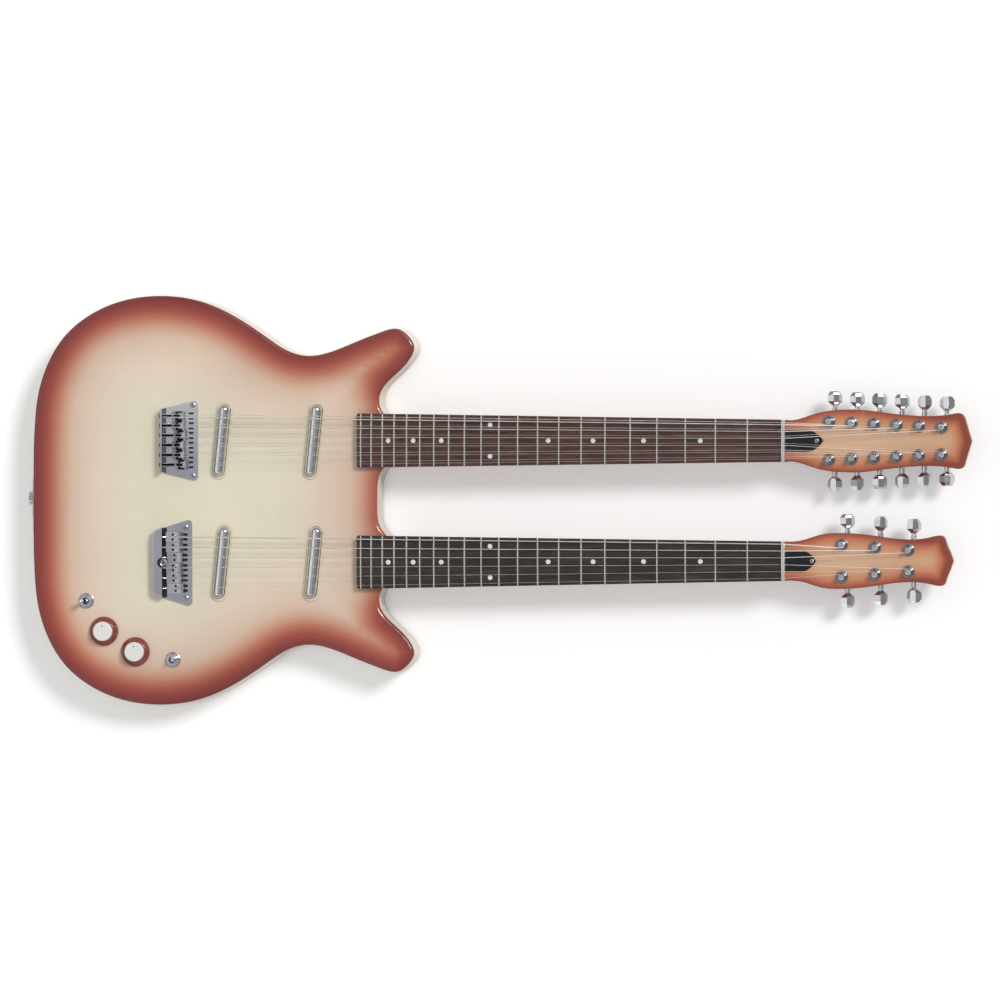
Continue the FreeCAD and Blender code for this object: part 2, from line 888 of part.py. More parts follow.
def make_body_frame():
    """Rim, bridge block and neck block, glued up from slabs round a chamber in each wing."""
    frame = slab(body_curve(size.tape_thickness), frame_low, frame_high)
    cutters = []
    for hand in (1, -1):
        shares = [(along, across * hand) for along, across in CHAMBER_SHARES]
        chamber = slab(closed_curve(body_points(shares)), frame_low - size.overrun,
                       frame_high + size.overrun)
        cutters.append(chamber)
    heel_level = board_top - size.heel_depth - size.fixed_gap
    for neck in NECKS:
        cutters.append(neck_cutter(neck, heel_level, frame_high + size.overrun))
        cutters += screw_cutters(neck)
    pocket_low = frame_high - size.pickup_pocket_depth
    pocket = stadium(size.pickup_radius + size.ring_wall + size.running_gap * 2,
                     size.pickup_length / 2 + size.ring_wall + size.running_gap * 2,
                     pocket_low, frame_high + size.overrun)
    cutters += [moved(pocket, placement) for placement in pickup_places()]
    cutters += pickup_screw_cutters()
    cutters += bridge_screw_cutters()
    for along in (size.bridge_pickup_place, size.neck_pickup_place):
        start = Vector(nut_place - along, size.twelve_side, pocket_low + size.wire_channel_radius)
        end = Vector(nut_place - along, -size.body_half_width / 2, start.z)
        cutters.append(bar(size.wire_channel_radius, start, end))
    cutters.append(jack_cutter(size.jack_sleeve_radius + size.jack_cup_wall))
    cutters.append(jack_cup_cutter())
    cutters.append(strap_cutter())
    cutters += glue_lines()
    return feature("body_frame", frame.cut(cutters))


def glue_lines():
    """The joints across the frame, where its slabs meet on each side of the jack."""
    return [
        Part.makeBox(size.fixed_gap, size.body_half_width * 2,
                     size.frame_depth + size.overrun * 2,
                     Vector(jack_place + size.jack_block_half * hand - size.fixed_gap / 2,
                            -size.body_half_width, frame_low - size.overrun))
        for hand in (1, -1)
    ]


def jack_cutter(radius):
    """The hole that takes the jack's sleeve through the rim."""
    start = Vector(jack_place, -size.body_half_width - size.overrun, size.jack_level)
    end = start + Vector(0, size.jack_length + size.overrun * 2, 0)
    return bar(radius, start, end)


def jack_cup_cutter():
    """The recess for the jack's cup."""
    start = Vector(jack_place, -size.body_half_width - size.overrun, size.jack_level)
    end = start + Vector(0, size.jack_cup_depth + size.overrun + size.fixed_gap, 0)
    return bar(size.jack_cup_radius + size.fixed_gap, start, end)


def strap_cutter():
    """The pilot hole for the strap button's screw."""
    start = Vector(tail - size.overrun, size.strap_side, size.strap_level)
    end = Vector(tail + size.strap_screw_length + size.fixed_gap, size.strap_side,
                 size.strap_level)
    return bar(size.strap_screw_radius + size.fixed_gap, start, end)


def outer_edge(shape, level):
    """The edges of a board's outline at one level."""
    return [
        edge for edge in shape.Edges
        if near(edge.BoundBox.ZMin, level) and near(edge.BoundBox.ZMax, level)
    ]


def make_body_top():
    """The front board, rounded over, with openings for what passes through."""
    board = slab(body_curve(), frame_high, deck)
    board = board.makeFillet(size.edge_round, outer_edge(board, deck))
    low, high = frame_high - size.overrun, deck + size.overrun
    cutters = [neck_notch(neck, low, high) for neck in NECKS]
    slot = stadium(size.pickup_radius + size.ring_wall + size.running_gap * 2,
                   size.pickup_length / 2 + size.ring_wall + size.running_gap * 2, low, high)
    cutters += [moved(slot, placement) for placement in pickup_places()]
    for along, across in KNOBS.values():
        cutters.append(upright_hole(size.pot_bushing_radius + size.fixed_gap, along, across,
                                    low, high))
    for along, across in SWITCHES.values():
        cutters.append(upright_hole(size.switch_bushing_radius + size.fixed_gap, along,
                                    across, low, high))
    cutters += bridge_screw_cutters()
    return feature("body_top", board.cut(cutters))


def make_body_back():
    """The back board, with countersunk holes for the neck and pickup screws."""
    board = slab(body_curve(), Size(0, "0"), frame_low)
    board = board.makeFillet(size.edge_round, outer_edge(board, 0))
    cutters = pickup_screw_cutters()
    for neck in NECKS:
        cutters += screw_cutters(neck)
    return feature("body_back", board.cut(cutters))


def make_side_tape():
    """The pale band round the side, and the patch over its joint at the tail."""
    outer = slab(body_curve(), frame_low, frame_high)
    band = outer.cut(slab(body_curve(size.tape_thickness), frame_low, frame_high))
    raised = slab(body_curve(-size.tape_patch_thickness), frame_low, frame_high)
    window = Part.makeBox(size.tape_patch_width, size.tape_patch_width, size.frame_depth,
                          Vector(tail - size.tape_patch_width / 2,
                                 size.strap_side - size.tape_patch_width / 2, frame_low))
    patch = raised.common(window).cut(outer).cut(strap_cutter())
    heel_level = board_top - size.heel_depth - size.fixed_gap
    cutters = [neck_cutter(neck, heel_level, frame_high + size.overrun) for neck in NECKS]
    cutters += [jack_cup_cutter(), strap_cutter()]
    return feature("side_tape", Part.makeCompound([band.cut(cutters), patch]))


# Necks

def neck_section(neck, along, side_low, bottom, round_back):
    """A closed section of a neck: flat top, short sides and a round or flat back."""
    half = board_half(neck, along)
    top_left = Vector(along, half, board_under)
    side_left = Vector(along, half, side_low)
    side_right = Vector(along, -half, side_low)
    top_right = Vector(along, -half, board_under)
    back = Part.LineSegment(side_left, side_right)
    if round_back:
        back = Part.Arc(side_left, Vector(along, 0, bottom), side_right)
    sides = [
        Part.LineSegment(top_left, side_left), back,
        Part.LineSegment(side_right, top_right), Part.LineSegment(top_right, top_left),
    ]
    return Part.Wire([side.toShape() for side in sides])


def head_outline(neck):
    """A headstock's face outline, from the nut round its pointed tip."""
    start = size.nut_thickness
    upper = [Vector(start, board_half(neck, start), 0)]
    upper += [
        Vector(start + neck.head_length * along, neck.head_half * across, 0)
        for along, across in neck.head_shares
    ]
    lower = [Vector(point.x, -point.y, 0) for point in reversed(upper)]
    base = Part.LineSegment(lower[-1], upper[0])
    return Part.Wire([side.toShape() for side in (smooth(upper), smooth(lower), base)])


def neck_blank(neck):
    """Heel, shaft and headstock in one piece, in the neck's own frame."""
    side_low = board_under - size.neck_side_depth
    heel_low = board_top - size.heel_depth
    heel_front = -size.heel_from_nut
    sections = [
        neck_section(neck, heel_front, heel_low, heel_low, False),
        neck_section(neck, heel_front + size.heel_blend, side_low,
                     board_top - size.neck_depth_at_heel, True),
        neck_section(neck, -size.head_blend, side_low,
                     board_top - size.neck_depth_at_nut, True),
        neck_section(neck, size.nut_thickness, head_under, head_under, False),
    ]
    shaft = Part.makeLoft(sections, True, True)
    heel = tapered(neck, -board_length(), heel_front, heel_low, board_under)
    tongue_rear = -(board_length() + size.tongue_reach)
    tongue = tapered(neck, tongue_rear, -board_length(), heel_low,
                     frame_high - size.tongue_gap)
    head = Part.Face(head_outline(neck)).extrude(Vector(0, 0, size.head_thickness))
    head.translate(Vector(0, 0, head_under))
    rims = outer_edge(head, head_face) + outer_edge(head, head_under)
    rims = [rim for rim in rims if rim.BoundBox.XLength > float(size.nut_thickness)]
    head = head.makeFillet(size.head_round, rims)
    return shaft.multiFuse([heel, tongue, head]).removeSplitter()


def make_neck(neck):
    """A neck with its tuner holes, truss rod channel and screw holes."""
    blank = neck_blank(neck)
    cutters = []
    for along, across, hand in post_places(neck):
        cutters.append(upright_hole(size.bushing_radius + size.fixed_gap, along, across,
                                    head_under - size.overrun, head_face + size.overrun))
        lug = case_lug_screw(along, across, hand)
        cutters.append(upright_hole(size.lug_screw_radius + size.fixed_gap, lug[0], lug[1],
                                    head_under - size.overrun,
                                    head_under + size.lug_screw_length))
    rod = bar(size.rod_radius + size.fixed_gap,
              Vector(-rod_reach - size.fixed_gap, 0, rod_level),
              Vector(size.nut_thickness + size.rod_pocket_length, 0, rod_level))
    pocket = Part.makeBox(size.rod_pocket_length, size.rod_pocket_half * 2,
                          head_face - rod_level + size.rod_nut_radius + size.overrun * 2,
                          Vector(size.nut_thickness, -size.rod_pocket_half,
                                 rod_level - size.rod_nut_radius - size.running_gap))
    cutters += [rod, pocket, cover_screw_hole(neck)]
    solid = moved(blank.cut(cutters), neck_frame(neck))
    solid = solid.cut(screw_cutters(neck))
    return feature(f"{neck.name}_neck", solid)


def case_lug_screw(along, across, hand):
    """Where a tuner casing's mounting screw stands."""
    inward = size.case_inner_end + size.lug_length / 2
    return along, across - inward * hand


def cover_screw_hole(neck):
    """The pilot hole under a truss rod cover's screw."""
    along = size.nut_thickness + neck.cover_length - neck.cover_screw_inset
    return upright_hole(size.lug_screw_radius + size.fixed_gap, along, 0,
                        head_face - size.lug_screw_length, head_face + size.overrun)


# Fretboards, frets, nuts and dots

def dot_bars(neck):
    """Upright bars where the position dots go."""
    places = [(number, 0) for number in SINGLE_DOTS]
    places += [(TWIN_DOT, size.twin_dot_half), (TWIN_DOT, -size.twin_dot_half)]
    bars = []
    for number, across in places:
        along = (fret_place(number) + fret_place(number - 1)) / 2
        floor = board_top - size.dot_depth - crown_drop(across)
        bars.append(upright_hole(size.dot_radius, along, across, floor,
                                 board_top + size.overrun))
    return bars


def board_blank(neck):
    """A tapered board with its curved playing surface."""
    rear = -board_length()
    block = tapered(neck, rear, Size(0, "0"), board_under, board_top)
    corners = [
        edge for edge in block.Edges if upright(edge) and near(edge.CenterOfMass.x, rear)
    ]
    block = block.makeFillet(size.board_corner, corners)
    return block.common(crown(rear - size.overrun, size.overrun, 0))


def make_fretboards():
    """Both boards, with round recesses for the dots."""
    boards = [moved(board_blank(neck).cut(dot_bars(neck)), neck_frame(neck)) for neck in NECKS]
    return feature("fretboards", Part.makeCompound(boards))


def make_fret_markers():
    """The dots, their tops following the curve of the boards."""
    dots = []
    for neck in NECKS:
        board = board_blank(neck)
        for upright in dot_bars(neck):
            dots.append(moved(board.common(upright).Solids[0], neck_frame(neck)))
    return feature("fret_markers", Part.makeCompound(dots))


def fret(neck, number):
    """A half-round wire bent over the board's curve."""
    along = fret_place(number)
    crest = Vector(along, 0, board_top)
    radius = float(size.fret_crown)
    left = crest - Vector(radius, 0, 0)
    right = crest + Vector(radius, 0, 0)
    arch = Part.Arc(left, crest + Vector(0, 0, radius), right).toShape()
    face = Part.Face(Part.Wire([arch, Part.LineSegment(right, left).toShape()]))
    centre = Vector(along, 0, board_top - size.board_radius)
    half = board_half(neck, along) - size.fret_end_inset
    swing = math.degrees(math.asin(float(half) / float(size.board_radius)))
    face.rotate(centre, Vector(1, 0, 0), -swing)
    return face.revolve(centre, Vector(1, 0, 0), 2 * swing)


def nut(neck):
    """A metal nut with a groove for each string."""
    block = tapered(neck, Size(0, "0"), size.nut_thickness, board_under,
                    nut_seat + size.nut_rise)
    rise = nut_seat + size.nut_rise - board_top
    block = block.common(crown(-size.overrun, size.nut_thickness + size.overrun, rise))
    return block.cut([string_slot(path, radius) for path, radius in string_paths(neck)])


def string_slot(path, radius):
    """A slot through a nut, its floor bent just below the string that lies in it."""
    seat = path[2]
    wide = radius + size.nut_slot_spare
    drop = radius + size.fixed_gap
    floor = []
    for along in (-size.overrun, seat.x, size.nut_thickness + size.overrun):
        end = path[1] if float(along) < seat.x else path[3]
        fall = (end.z - seat.z) / (end.x - seat.x) * (float(along) - seat.x)
        floor.append(Vector(along, seat.y - wide, seat.z + fall - drop))
    open_level = nut_seat + size.overrun
    rim = [Vector(floor[-1].x, floor[-1].y, open_level),
           Vector(floor[0].x, floor[0].y, open_level)]
    face = Part.Face(Part.makePolygon(floor + rim + floor[:1]))
    return face.extrude(Vector(0, wide * 2, 0))


def make_frets_and_nuts():
    """The frets and the nut of each neck."""
    pieces = []
    for neck in NECKS:
        for number in range(1, FRETS + 1):
            pieces.append(moved(fret(neck, number), neck_frame(neck)))
        pieces.append(moved(nut(neck), neck_frame(neck)))
    return feature("frets_and_nuts", Part.makeCompound(pieces))


# Strings

def saddle_place(neck, course):
    """How far from the nut one course crosses its saddle."""
    return size.scale_length + neck.saddle_back + size.saddle_travel * SADDLE_SHARES[course]


def course_across(course, pitch):
    """Where a course lies across its neck, bass side first."""
    return pitch * ((COURSES - 1) / 2 - course)


def saddle_seat(neck, course):
    """The level of a saddle's top under its strings."""
    across = course_across(course, neck.bridge_pitch)
    return nut_seat + size.saddle_over_nut - crown_drop(across)


def string_paths(neck):
    """Anchor, saddle, nut and post points of every string, with its radius."""
    paths = []
    posts = post_places(neck)
    # Courses on the bass side go to the upper posts, the outermost string to the
    # nearest post. The rest go to the lower posts, the innermost to the furthest.
    total = sum(len(gauges) for gauges in neck.strings)
    count = 0
    for course, gauges in enumerate(neck.strings):
        for index, gauge in enumerate(gauges):
            hand = 1 if count < total / 2 else -1
            post_index = count if hand == 1 else total - 1 - count
            post = posts[post_index + (0 if hand == 1 else neck.posts)]
            spread = (len(gauges) - 1) / 2 - index
            at_bridge = course_across(course, neck.bridge_pitch) + size.bridge_pair_gap * spread
            at_nut = course_across(course, size.nut_pitch) + size.nut_pair_gap * spread
            paths.append(string_path(neck, course, gauge, at_bridge, at_nut, post))
            count += 1
    return paths


def string_path(neck, course, gauge, at_bridge, at_nut, post):
    """The points that one string runs through, in its neck's frame."""
    radius = size.string_radius * gauge
    lift = radius + size.fixed_gap
    anchor = Vector(-(size.scale_length + neck.anchor_place), at_bridge,
                    plate_top + neck.anchor_height)
    saddle = Vector(-saddle_place(neck, course), at_bridge, saddle_seat(neck, course) + lift)
    at_nut_point = Vector(size.nut_thickness / 2, at_nut, nut_seat - crown_drop(at_nut) + lift)
    along, across, hand = post
    clear = size.post_waist_radius + radius + size.running_gap
    end = Vector(along, across - clear * hand, head_face + size.string_post_height)
    return [anchor, saddle, at_nut_point, end], radius


def make_strings():
    """Eighteen taut strings, each bent only over its saddle and its nut."""
    strings = []
    for neck in NECKS:
        for path, radius in string_paths(neck):
            section = Part.Wire(Part.Circle(path[0], path[1] - path[0], radius).toShape())
            string = Part.makePolygon(path).makePipeShell([section], True, False, 1)
            strings.append(moved(string, neck_frame(neck)))
    return feature("strings", Part.makeCompound(strings))


# Bridges

def bridge_plates():
    """Both chrome base plates, with their flange, tail bar, slots and screw holes."""
    twelve_front = twelve.plate_front - size.scale_length
    twelve_rear = -size.scale_length - twelve.plate_rear
    plan = [
        (twelve_rear, -twelve.plate_rear_half), (twelve_front, -twelve.plate_front_half),
        (twelve_front, twelve.plate_front_half), (twelve_rear, twelve.plate_rear_half),
    ]
    base = padded("twelve_plate_base", plan, size.plate_thickness, deck)
    rounded(base, "twelve_plate_corners", size.plate_corner,
            lambda edge: upright(edge) and near(edge.CenterOfMass.x, twelve_front))
    flange = box("twelve_plate_flange", size.flange_thickness, twelve.plate_rear_half * 2,
                 size.flange_height + size.plate_thickness, twelve_rear,
                 -twelve.plate_rear_half, deck)
    holes = plate_holes(twelve)
    for course in range(COURSES):
        across = course_across(course, twelve.bridge_pitch)
        holes.append(cylinder(f"flange_screw_hole_{course}",
                              size.intonation_screw_radius + size.fixed_gap,
                              size.flange_thickness + size.overrun * 2,
                              twelve_rear - size.overrun, across,
                              plate_top + size.intonation_level, Vector(1, 0, 0)))
    plate_twelve = without("twelve_plate", joined("twelve_plate_bent", base, flange), *holes)

    front = six.plate_front - size.scale_length
    rear = -size.scale_length - six.plate_rear
    shoulder = -size.scale_length - six.plate_shoulder
    bar_front = -size.scale_length - size.tail_bar_front
    plan = [
        (rear, -six.plate_rear_half), (shoulder, -six.plate_shoulder_half),
        (front, -six.plate_front_half), (front, six.plate_front_half),
        (shoulder, six.plate_shoulder_half), (rear, six.plate_rear_half),
    ]
    base = padded("six_plate_base", plan, size.plate_thickness, deck)
    rounded(base, "six_plate_corners", size.plate_corner,
            lambda edge: upright(edge) and near(edge.CenterOfMass.x, front))
    plan = [
        (rear, -six.plate_rear_half), (shoulder, -six.plate_shoulder_half),
        (bar_front, -size.tail_bar_half), (bar_front, size.tail_bar_half),
        (shoulder, six.plate_shoulder_half), (rear, six.plate_rear_half),
    ]
    tail_bar = padded("six_tail_bar", plan, size.tail_bar_height + size.plate_thickness, deck)
    bar_top = deck + size.tail_bar_height + size.plate_thickness
    rounded(tail_bar, "six_tail_bar_round", size.tail_bar_round,
            lambda edge: near(edge.CenterOfMass.z, bar_top)
            and not near(edge.CenterOfMass.x, bar_front))
    crater = cylinder("tail_crater", size.tail_crater, size.tail_bar_height + size.overrun,
                      -size.scale_length - size.tail_screw_place, 0, plate_top)
    slot = box("tail_slot", size.tail_slot_width, size.tail_bar_half * 2 - size.plate_corner,
               size.tail_slot_depth + size.overrun, bar_front,
               size.plate_corner / 2 - size.tail_bar_half, plate_top - size.tail_slot_depth)
    plate_six = without("six_plate", joined("six_plate_bent", base, tail_bar), crater, slot,
                        *plate_holes(six))
    placed = [on_neck(group("twelve_plate_set", [plate_twelve]), twelve),
              on_neck(group("six_plate_set", [plate_six]), six)]
    return group("bridge_plates", placed)


def plate_holes(neck):
    """Cutters for a plate's screw holes and its row of small slots."""
    tools = []
    for number, (along, across) in enumerate(plate_screw_places(neck)):
        tools.append(cylinder(f"{neck.name}_plate_hole_{number}",
                              size.plate_screw_radius + size.fixed_gap,
                              size.plate_thickness + size.overrun * 2, along, across,
                              deck - size.overrun))
    if neck is six:
        tools.append(cylinder("tail_screw_hole", size.plate_screw_radius + size.fixed_gap,
                              size.plate_thickness + size.overrun * 2,
                              -size.scale_length - size.tail_screw_place, 0,
                              deck - size.overrun))
    front = neck.plate_front - size.scale_length - size.plate_slot_inset
    for course in range(COURSES):
        for hand in (1, -1):
            across = course_across(course, neck.bridge_pitch)
            across = across + size.plate_slot_half_spread * hand - size.plate_slot_half
            tools.append(box(f"{neck.name}_plate_slot_{course}_{hand + 1}",
                             size.plate_slot_length, size.plate_slot_half * 2,
                             size.plate_thickness + size.overrun * 2,
                             front - size.plate_slot_length, across, deck - size.overrun))
    return tools


def saddle(neck, course):
    """One saddle with its height screws, and on the twelve its intonation screw and spring."""
    name = f"{neck.name}_saddle_{course}"
    crest = -saddle_place(neck, course)
    front = crest + neck.saddle_crest
    rear = front - neck.saddle_length
    low = plate_top + size.saddle_clear
    seat = saddle_seat(neck, course)
    shoulder = seat - size.saddle_front_fall
    back_level = low + size.saddle_back_height
    half = (neck.bridge_pitch - size.saddle_gap) / 2
    across = course_across(course, neck.bridge_pitch)
    body = doc.addObject("PartDesign::Body", name + "_block")
    corners = [(rear, low), (front, low), (front, shoulder), (crest, seat), (rear, back_level)]
    sketch = corner_sketch(body, name + "_side", "XZ_Plane", corners)
    pad = body.newObject("PartDesign::Pad", name + "_pad")
    pad.Profile = sketch
    bind(pad, "Length", half * 2)
    pad.Midplane = True
    body.Tip = pad
    block = place(group(name + "_at", [body]), 0, across, 0)
    tools, pieces = [], []
    screw_along = crest - size.height_screw_setback
    for hand in (1, -1):
        beside = across + (half - size.height_screw_inset) * hand
        tools.append(cylinder(f"{name}_hole_{hand + 1}",
                              size.height_screw_radius + size.fixed_gap, board_top,
                              screw_along, beside, plate_top))
        pieces.append(cylinder(f"{name}_height_screw_{hand + 1}", size.height_screw_radius,
                               size.height_screw_length, screw_along, beside, plate_top))
    if neck is twelve:
        flange = -size.scale_length - twelve.plate_rear
        level = plate_top + size.intonation_level
        reach = rear - flange + size.intonation_grip
        tools.append(cylinder(name + "_screw_hole",
                              size.intonation_screw_radius + size.fixed_gap,
                              size.intonation_grip + size.fixed_gap, rear, across, level,
                              Vector(1, 0, 0)))
        shank = cylinder(name + "_shank", size.intonation_screw_radius, reach, flange, across,
                         level, Vector(1, 0, 0))
        head = cylinder(name + "_head", size.intonation_head_radius,
                        size.intonation_head_height, flange - size.intonation_head_height,
                        across, level, Vector(1, 0, 0))
        pieces.append(joined(name + "_intonation_screw", shank, head))
        start = flange + size.flange_thickness
        coil = feature(name + "_spring", spring(rear - start))
        pieces.append(place(group(name + "_spring_at", [coil]), start, across, level))
    return [without(name, block, *tools)] + pieces


def spring(length):
    """An open coil spring along +X, its wire one unbroken tube of tangent arcs."""
    wire_radius = float(size.spring_wire_radius)
    inner = float(size.intonation_screw_radius + size.fixed_gap)
    radius = inner + wire_radius
    run = float(length) - 2 * (wire_radius + float(size.fixed_gap))
    pitch = run / SPRING_TURNS
    stations = []
    for half_turn in range(SPRING_TURNS * 2 + 1):
        angle = math.pi * half_turn
        along = (float(length) - run) / 2 + pitch * half_turn / 2
        point = Vector(along, radius * math.cos(angle), radius * math.sin(angle))
        heading = Vector(pitch / (2 * math.pi), -radius * math.sin(angle),
                         radius * math.cos(angle))
        stations.append((point, heading.normalize()))
    edges = []
    for (start, leaving), (end, arriving) in zip(stations, stations[1:]):
        chord = end - start
        both = leaving + arriving
        sweep = 2 * (1 - leaving.dot(arriving))
        reach = (math.sqrt(chord.dot(both) ** 2 + 2 * sweep * chord.dot(chord) / 2)
                 - chord.dot(both)) / sweep
        middle = (start + end + (leaving - arriving) * reach) / 2
        edges.append(Part.Arc(start, arc_middle(start, leaving, middle), middle))
        edges.append(Part.Arc(middle, arc_middle(end, -arriving, middle), end))
    path = Part.Wire([edge.toShape() for edge in edges])
    print("least gap between the turns of a spring", round(least_gap(path, wire_radius), 2), "mm")
    section = Part.Wire(Part.Circle(stations[0][0], stations[0][1], wire_radius).toShape())
    return path.makePipeShell([section], True, False)


def least_gap(path, wire_radius):
    """The least clear distance, on points, between places half a turn or more apart."""
    points = path.discretize(Number=SPRING_TURNS * POINTS_PER_TURN + 1)
    apart = [
        point.distanceToPoint(later)
        for index, point in enumerate(points)
        for later in points[index + POINTS_PER_TURN // 2:]
    ]
    return min(apart) - 2 * wire_radius


def arc_middle(start, heading, end):
    """The middle of the arc that leaves a point along a heading and ends at another."""
    chord = end - start
    aside = (chord - heading * chord.dot(heading)).normalize()
    radius = chord.dot(chord) / (2 * chord.dot(aside))
    centre = start + aside * radius
    outward = ((start + end) / 2 - centre).normalize()
    return centre + outward * radius


def saddles():
    """Twelve saddles and the small parts that set them."""
    sets = []
    for neck in NECKS:
        pieces = [piece for course in range(COURSES) for piece in saddle(neck, course)]
        sets.append(on_neck(group(f"{neck.name}_saddle_set", pieces), neck))
    return group("saddles", sets)


# Pickups

def capsule(name, radius, length):
    """A round bar with ball ends lying across the guitar, about its middle."""
    reach = length / 2 - radius
    run = cylinder(name + "_run", radius, reach * 2, 0, -reach, 0, Vector(0, 1, 0))
    ends = [ball(f"{name}_end_{number}", radius, 0, end, 0)
            for number, end in enumerate((reach, -reach))]
    return joined(name, run, *ends)


def pickups():
    """Four hollow tubes, each round a coil and magnet, and their rings."""
    tube = without("pickup_tube_hollow", capsule("pickup_tube_outer", size.pickup_radius,
                                                 size.pickup_length),
                   capsule("pickup_tube_inner", size.pickup_radius - size.pickup_wall,
                           size.pickup_length - size.pickup_wall * 2))
    core_radius = size.pickup_radius - size.pickup_wall - size.running_gap
    core = doc.addObject("Part::Common", "pickup_core")
    core.Base = box("pickup_core_block", size.core_half_width * 2, size.core_length,
                    core_radius * 2, -size.core_half_width, -size.core_length / 2,
                    -core_radius)
    core.Tool = cylinder("pickup_core_round", core_radius, size.core_length, 0,
                         -size.core_length / 2, 0, Vector(0, 1, 0))
    ring = feature("pickup_ring", pickup_ring())
    tubes, rings = [], []
    axis_level = deck + size.pickup_rise - size.pickup_radius
    for number, placement in enumerate(pickup_places()):
        at = group(f"pickup_{number}", [tube, core])
        at.Placement = placement
        at.setExpression("Placement.Base.z", axis_level.formula)
        tubes.append(at)
        under = group(f"pickup_ring_{number}", [ring])
        under.Placement = placement
        rings.append(under)
    return group("pickup_tubes", tubes), group("pickup_rings", rings)


def pickup_ring():
    """A flat ring with a collar that lines the slot in the top board."""
    inner_width = size.pickup_radius + size.running_gap
    inner_length = size.pickup_length / 2 + size.running_gap
    face = stadium(size.ring_half_width, size.ring_half_length, deck, deck + size.ring_height)
    collar = stadium(inner_width + size.ring_wall, inner_length + size.ring_wall, frame_high,
                     deck)
    opening = stadium(inner_width, inner_length, frame_high - size.overrun,
                      deck + size.ring_height + size.overrun)
    return face.fuse(collar).cut(opening)


# Truss rods and their covers

def cover_outline(neck):
    """A bell-shaped plan that narrows to a rounded point."""
    start = size.nut_thickness + size.fixed_gap
    pointed = neck.cover_length - neck.cover_straight
    upper = [
        Vector(start + neck.cover_straight + pointed * along, size.cover_half * across, 0)
        for along, across in COVER_SHARES
    ]
    lower = [Vector(point.x, -point.y, 0) for point in reversed(upper)]
    foot_left = Vector(start, -size.cover_half, 0)
    foot_right = Vector(start, size.cover_half, 0)
    sides = [Part.LineSegment(foot_left, foot_right), Part.LineSegment(foot_right, upper[0]),
             smooth(upper), smooth(lower), Part.LineSegment(lower[-1], foot_left)]
    return Part.Wire([side.toShape() for side in sides])


def truss_rods_and_covers():
    """A steel rod with its nut inside each neck, and the black cover over the nut."""
    sets = []
    for neck in NECKS:
        name = neck.name
        rod = cylinder(f"{name}_rod", size.rod_radius,
                       rod_reach + size.nut_thickness + size.rod_nut_length,
                       -rod_reach, 0, rod_level, Vector(1, 0, 0))
        rod_nut = cylinder(f"{name}_rod_nut", size.rod_nut_radius, size.rod_nut_length,
                           size.nut_thickness + size.fixed_gap, 0, rod_level,
                           Vector(1, 0, 0))
        face = Part.Face(cover_outline(neck))
        face.translate(Vector(0, 0, head_face))
        plate = face.extrude(Vector(0, 0, size.cover_thickness))
        along = size.nut_thickness + neck.cover_length - neck.cover_screw_inset
        hole = upright_hole(size.lug_screw_radius + size.fixed_gap, along, 0, head_face,
                            head_face + size.overrun)
        cover = feature(f"{name}_cover", plate.cut(hole))
        rod_set = joined(f"{name}_rod_with_nut", rod, rod_nut)
        sets.append(on_neck(group(f"{name}_rod_set", [rod_set, cover]), neck))
    return group("truss_rods_and_covers", sets)


# Tuners

def tuner_bushing():
    """A sleeve through the headstock with its washer and domed collar."""
    washer_top = head_face + size.washer_thickness
    dome_top = washer_top + size.dome_height
    bore = size.post_radius + size.shaft_gap
    return turned("tuner_bushing", [
        (bore, head_under), (size.bushing_radius, head_under),
        (size.bushing_radius, head_face), (size.washer_radius, head_face),
        (size.washer_radius, washer_top), (size.dome_low_radius, washer_top),
        (size.dome_high_radius, dome_top), (bore, dome_top),
    ])


def tuner_post():
    """A string post turned in one piece with its gear wheel below the headstock."""
    gear_low = worm_level - size.gear_thickness / 2
    gear_high = worm_level + size.gear_thickness / 2
    top = head_face + size.post_height
    gear_to_post = head_under - size.running_gap
    body = turned("tuner_post_turned", [
        (0, gear_low), (size.gear_radius, gear_low), (size.gear_radius, gear_high),
        (size.button_shaft_radius, gear_high), (size.button_shaft_radius, gear_to_post),
        (size.post_radius, gear_to_post),
        (size.post_radius, head_face + size.post_waist_low),
        (size.post_waist_radius, head_face + size.post_waist_low + size.post_dome),
        (size.post_waist_radius, head_face + size.post_waist_high - size.post_dome),
        (size.post_radius, head_face + size.post_waist_high),
        (size.post_radius, top - size.post_dome), (size.post_waist_radius, top), (0, top),
    ])
    hole = cylinder("tuner_post_hole", size.string_hole_radius, size.post_radius * 4,
                    -size.post_radius * 2, 0, head_face + size.string_post_height,
                    Vector(1, 0, 0))
    return without("tuner_post", body, hole)


